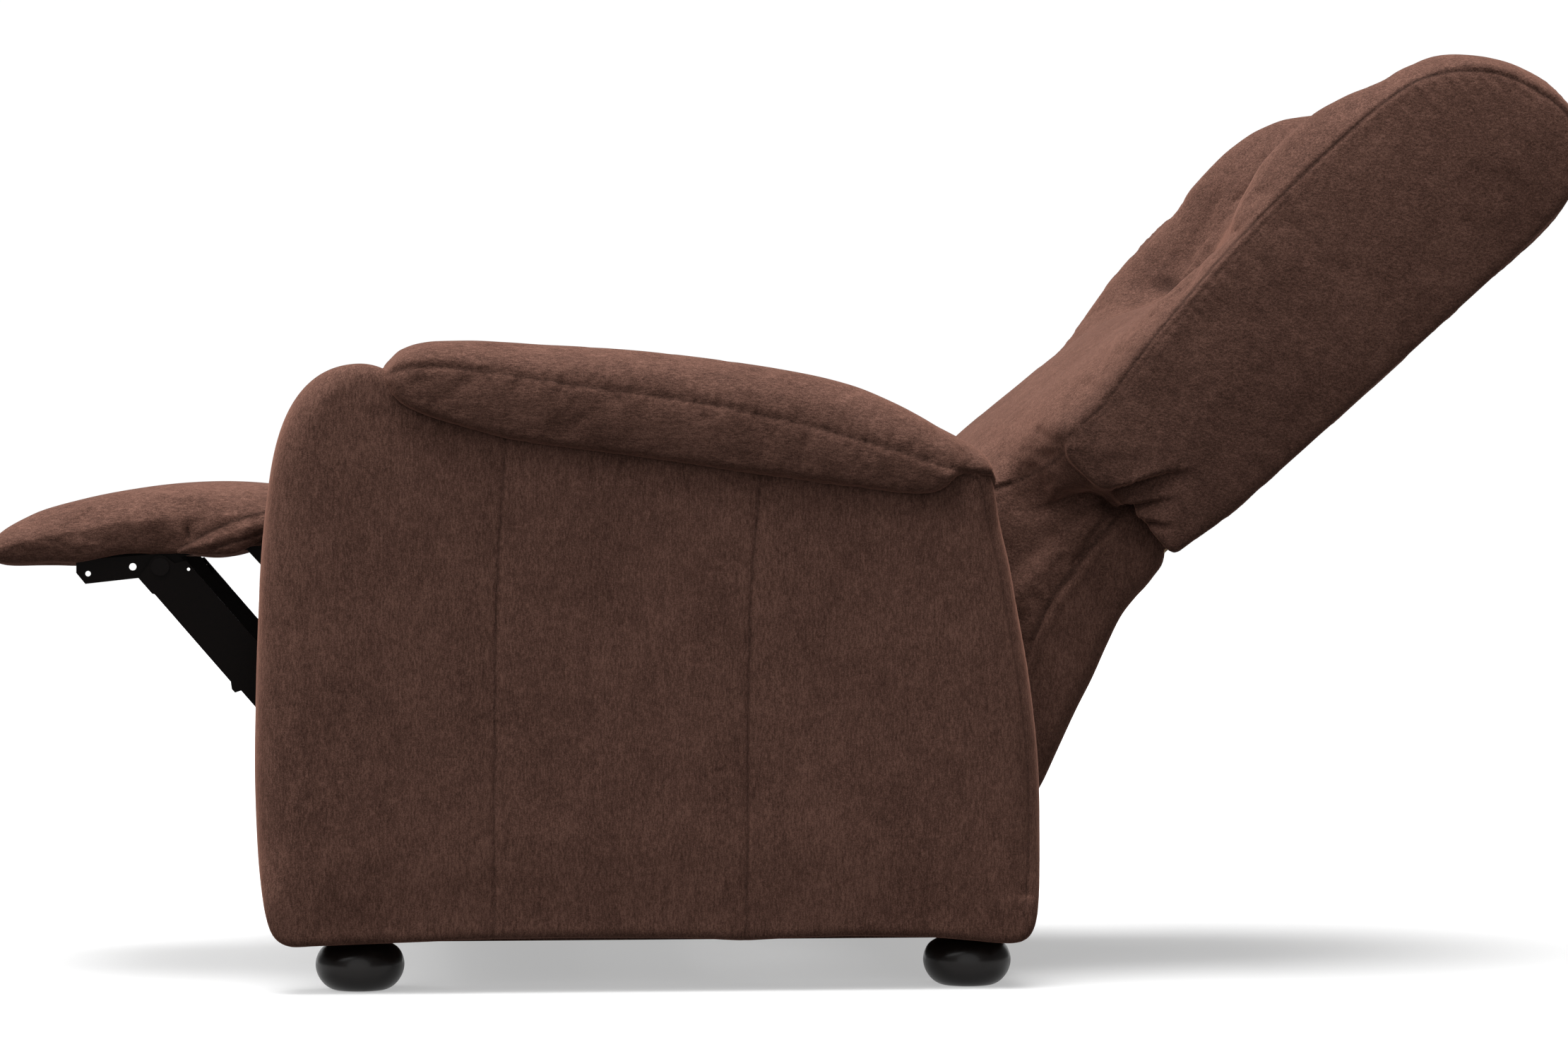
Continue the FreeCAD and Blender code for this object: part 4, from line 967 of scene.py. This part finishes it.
def build_skirt(step):
    ns = int(.42 / step)
    R, Fr = along(SKIRT_REAR, ns), along(SKIRT_FRONT, ns)
    W, rc = .2488, .020
    n_rear, n_arc, n_side = int((W - rc) / step), max(4, int(.03 / step)), max(6, int(.060 / step))
    S = np.linspace(0, 1, ns)
    D = Fr - R
    L = np.linalg.norm(D, axis=1)
    D = D / L[:, None]
    cols, nrm, tt = [], [], []
    for i in range(n_rear):
        x = (W - rc) * i / n_rear
        cols.append(np.stack([np.full(ns, x), R[:, 0], R[:, 1]], 1))
        nrm.append(np.stack([np.zeros(ns), -D[:, 0], -D[:, 1]], 1))
        tt.append(np.full(ns, x))
    for i in range(n_arc):
        a = .5 * math.pi * i / n_arc
        q = R + D * (rc * (1 - math.cos(a)))
        cols.append(np.stack([np.full(ns, W - rc + rc * math.sin(a)), q[:, 0], q[:, 1]], 1))
        nrm.append(np.stack([np.full(ns, math.sin(a)), -D[:, 0] * math.cos(a), -D[:, 1] * math.cos(a)], 1))
        tt.append(np.full(ns, W - rc + rc * a))
    for i in range(n_side + 1):
        f = rc + (L - rc) * i / n_side
        q = R + D * f[:, None]
        cols.append(np.stack([np.full(ns, W), q[:, 0], q[:, 1]], 1))
        nrm.append(np.stack([np.ones(ns), np.zeros(ns), np.zeros(ns)], 1))
        tt.append(W - rc + rc * .5 * math.pi + f - rc)
    # beyond its front edge the sheet is tucked in beside the block of the back
    t_edge = tt[-1]
    n_tuck = max(4, int(.036 / step))
    reach = .006 + .030 * smoothstep(.33, .50, S)
    for i in range(1, n_tuck + 1):
        a = i / n_tuck
        q = R + D * (L + reach * a)[:, None]
        cols.append(np.stack([W - .024 * math.sin(.5 * math.pi * a) * reach / .036, q[:, 0], q[:, 1]], 1))
        nrm.append(np.stack([np.ones(ns), np.zeros(ns), np.zeros(ns)], 1))
        tt.append(t_edge + reach * a)
    half, hn, ht = np.stack(cols, 1), np.stack(nrm, 1), np.stack(tt, 1)
    G = np.concatenate([half[:, :0:-1] * np.array([-1, 1, 1]), half], 1)
    N = np.concatenate([hn[:, :0:-1] * np.array([-1, 1, 1]), hn], 1)
    T = np.concatenate([-ht[:, :0:-1], ht], 1)
    s2 = S[:, None]
    free = smoothstep(.0, .25, s2) * smoothstep(1.0, .72, s2)
    aT = np.abs(T)
    d = .0035 * free * (1 - (np.minimum(aT, .24) / .24) ** 2)
    d = d + .0030 * free * np.sin(T * 34 + 3.0 * s2 + 1.2 * np.sin(s2 * 7)) * smoothstep(.26, .16, aT)
    # folds that hang from the tucked corner of the wings
    b = world_to_back(G.reshape(-1, 3)).reshape(G.shape)
    pu, pv = b[..., 1] - PUCKER[0], b[..., 2] - PUCKER[1]
    on_side = smoothstep(.225, .246, np.abs(G[..., 0]))
    for ang, depth, length in ((-110, .0032, .13), (-134, .0034, .17), (-156, .0024, .12)):
        a = math.radians(ang)
        al = pu * math.cos(a) + pv * math.sin(a)
        pe = -pu * math.sin(a) + pv * math.cos(a)
        d = d - depth * on_side * np.exp(-(pe / (.0045 + .05 * np.clip(al, 0, 1))) ** 2) * smoothstep(.004, .02, al) * smoothstep(length, length * .4, al)
    # the front edge curls in onto the side of the back
    edge = np.concatenate([t_edge[:, None] - ht[:, :0:-1], t_edge[:, None] - ht], 1)
    d = d + (.0026 * np.exp(-((edge - .0075) / .0042) ** 2) - .0030 * np.exp(-(edge / .0030) ** 2)) * on_side
    G = G + N * d[..., None]
    th = .0024
    I = G - N * th
    n, m = G.shape[:2]
    v = np.concatenate([G.reshape(-1, 3), I.reshape(-1, 3)])
    idx = np.arange(n * m).reshape(n, m)
    a, b2, c, e = idx[:-1, :-1].ravel(), idx[:-1, 1:].ravel(), idx[1:, 1:].ravel(), idx[1:, :-1].ravel()
    q = np.stack([a, b2, c, e], 1)
    k = n * m
    qi = q[:, ::-1] + k
    ring = np.concatenate([idx[0, :], idx[1:, -1], idx[-1, -2::-1], idx[-2:0:-1, 0]])
    nx = np.roll(ring, -1)
    rim = np.stack([nx, ring, ring + k, nx + k], 1)
    return v, np.vstack([q, qi, rim]), np.concatenate([edge.ravel(), edge.ravel()])


kp, kq, kedge = build_skirt(.0045)
# painted shade along the front edge of the skirt where it is tucked in beside the back
skirt = mesh_object("rear_skirt_cover", kp, kq, {"seam": .8 * np.exp(-(kedge / .0022) ** 2)})
skirt.data.materials.append(M_SKIRT)
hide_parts("rear_skirt")
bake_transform(skirt)

# ------------------------------------------------------------------ floor, light, camera
fm, fnt, fb = new_mat("pale_floor")
fb.inputs["Base Color"].default_value = (0.37, 0.37, 0.37, 1)
fb.inputs["Roughness"].default_value = 0.7
fb.inputs["Specular IOR Level"].default_value = 0.0
fb.inputs["Emission Color"].default_value = (1, 1, 1, 1)
fb.inputs["Emission Strength"].default_value = 0.42
ang = np.linspace(0, 2 * math.pi, 96, endpoint=False)
floor = mesh_object("floor", np.vstack([[[0, 0, -.0006]], np.stack([40 * np.cos(ang), 40 * np.sin(ang), 0 * ang - .0006], 1)]),
                    np.array([[0, i + 1, (i + 1) % 96 + 1] for i in range(96)]), smooth=False)
floor.data.materials.append(fm)
floor.visible_diffuse = False

world = bpy.data.worlds.new("studio")
SCENE.world = world
world.use_nodes = True
bg = world.node_tree.nodes["Background"]
bg.inputs[0].default_value = (1, 1, 1, 1)
bg.inputs[1].default_value = 0.15

# white paper behind the chair, far enough off to light only its far side
paper_m, paper_nt, paper_b = new_mat("white_paper")
paper_nt.nodes.remove(paper_b)
glow = node(paper_nt, "ShaderNodeEmission")
glow.inputs[1].default_value = 1.02
paper_nt.links.new(glow.outputs[0], paper_nt.nodes["Material Output"].inputs[0])
paper = mesh_object("paper_backdrop", [[-30, -25, -1], [-30, 25, -1], [-30, 25, 14], [-30, -25, 14]], np.array([[0, 1, 2, 3]]), smooth=False)
paper.data.materials.append(paper_m)


def sun(name, towards, strength, angle):
    """Broad soft light from a direction."""
    l = bpy.data.lights.new(name, "SUN")
    l.energy = strength
    l.angle = math.radians(angle)
    o = bpy.data.objects.new(name, l)
    SCENE.collection.objects.link(o)
    o.location = Vector(towards) * 4
    o.rotation_euler = (-Vector(towards)).to_track_quat("-Z", "Y").to_euler()
    return o


sun("top_light", (0.09, -0.03, 1.0), 4.6, 44)
sun("front_light", (0.10, -0.48, 0.88), 4.2, 80)
sun("side_light", (0.98, -0.06, 0.12), 1.15, 60)

cam = bpy.data.cameras.new("camera")
cam_o = bpy.data.objects.new("camera", cam)
SCENE.collection.objects.link(cam_o)
CAM = Vector((4.87, -0.40, 0.457))
YAW = math.radians(4.955)
cam_o.location = CAM
cam_o.rotation_euler = Vector((-math.cos(YAW), math.sin(YAW), 0)).to_track_quat("-Z", "Y").to_euler()
cam.sensor_width = 36.0
cam.lens = 106.3
cam.clip_start, cam.clip_end = 0.05, 200
SCENE.camera = cam_o
SCENE.view_settings.view_transform = "Standard"
SCENE.view_settings.look = "None"
SCENE.view_settings.exposure = 0.0
SCENE.view_settings.gamma = 1.0
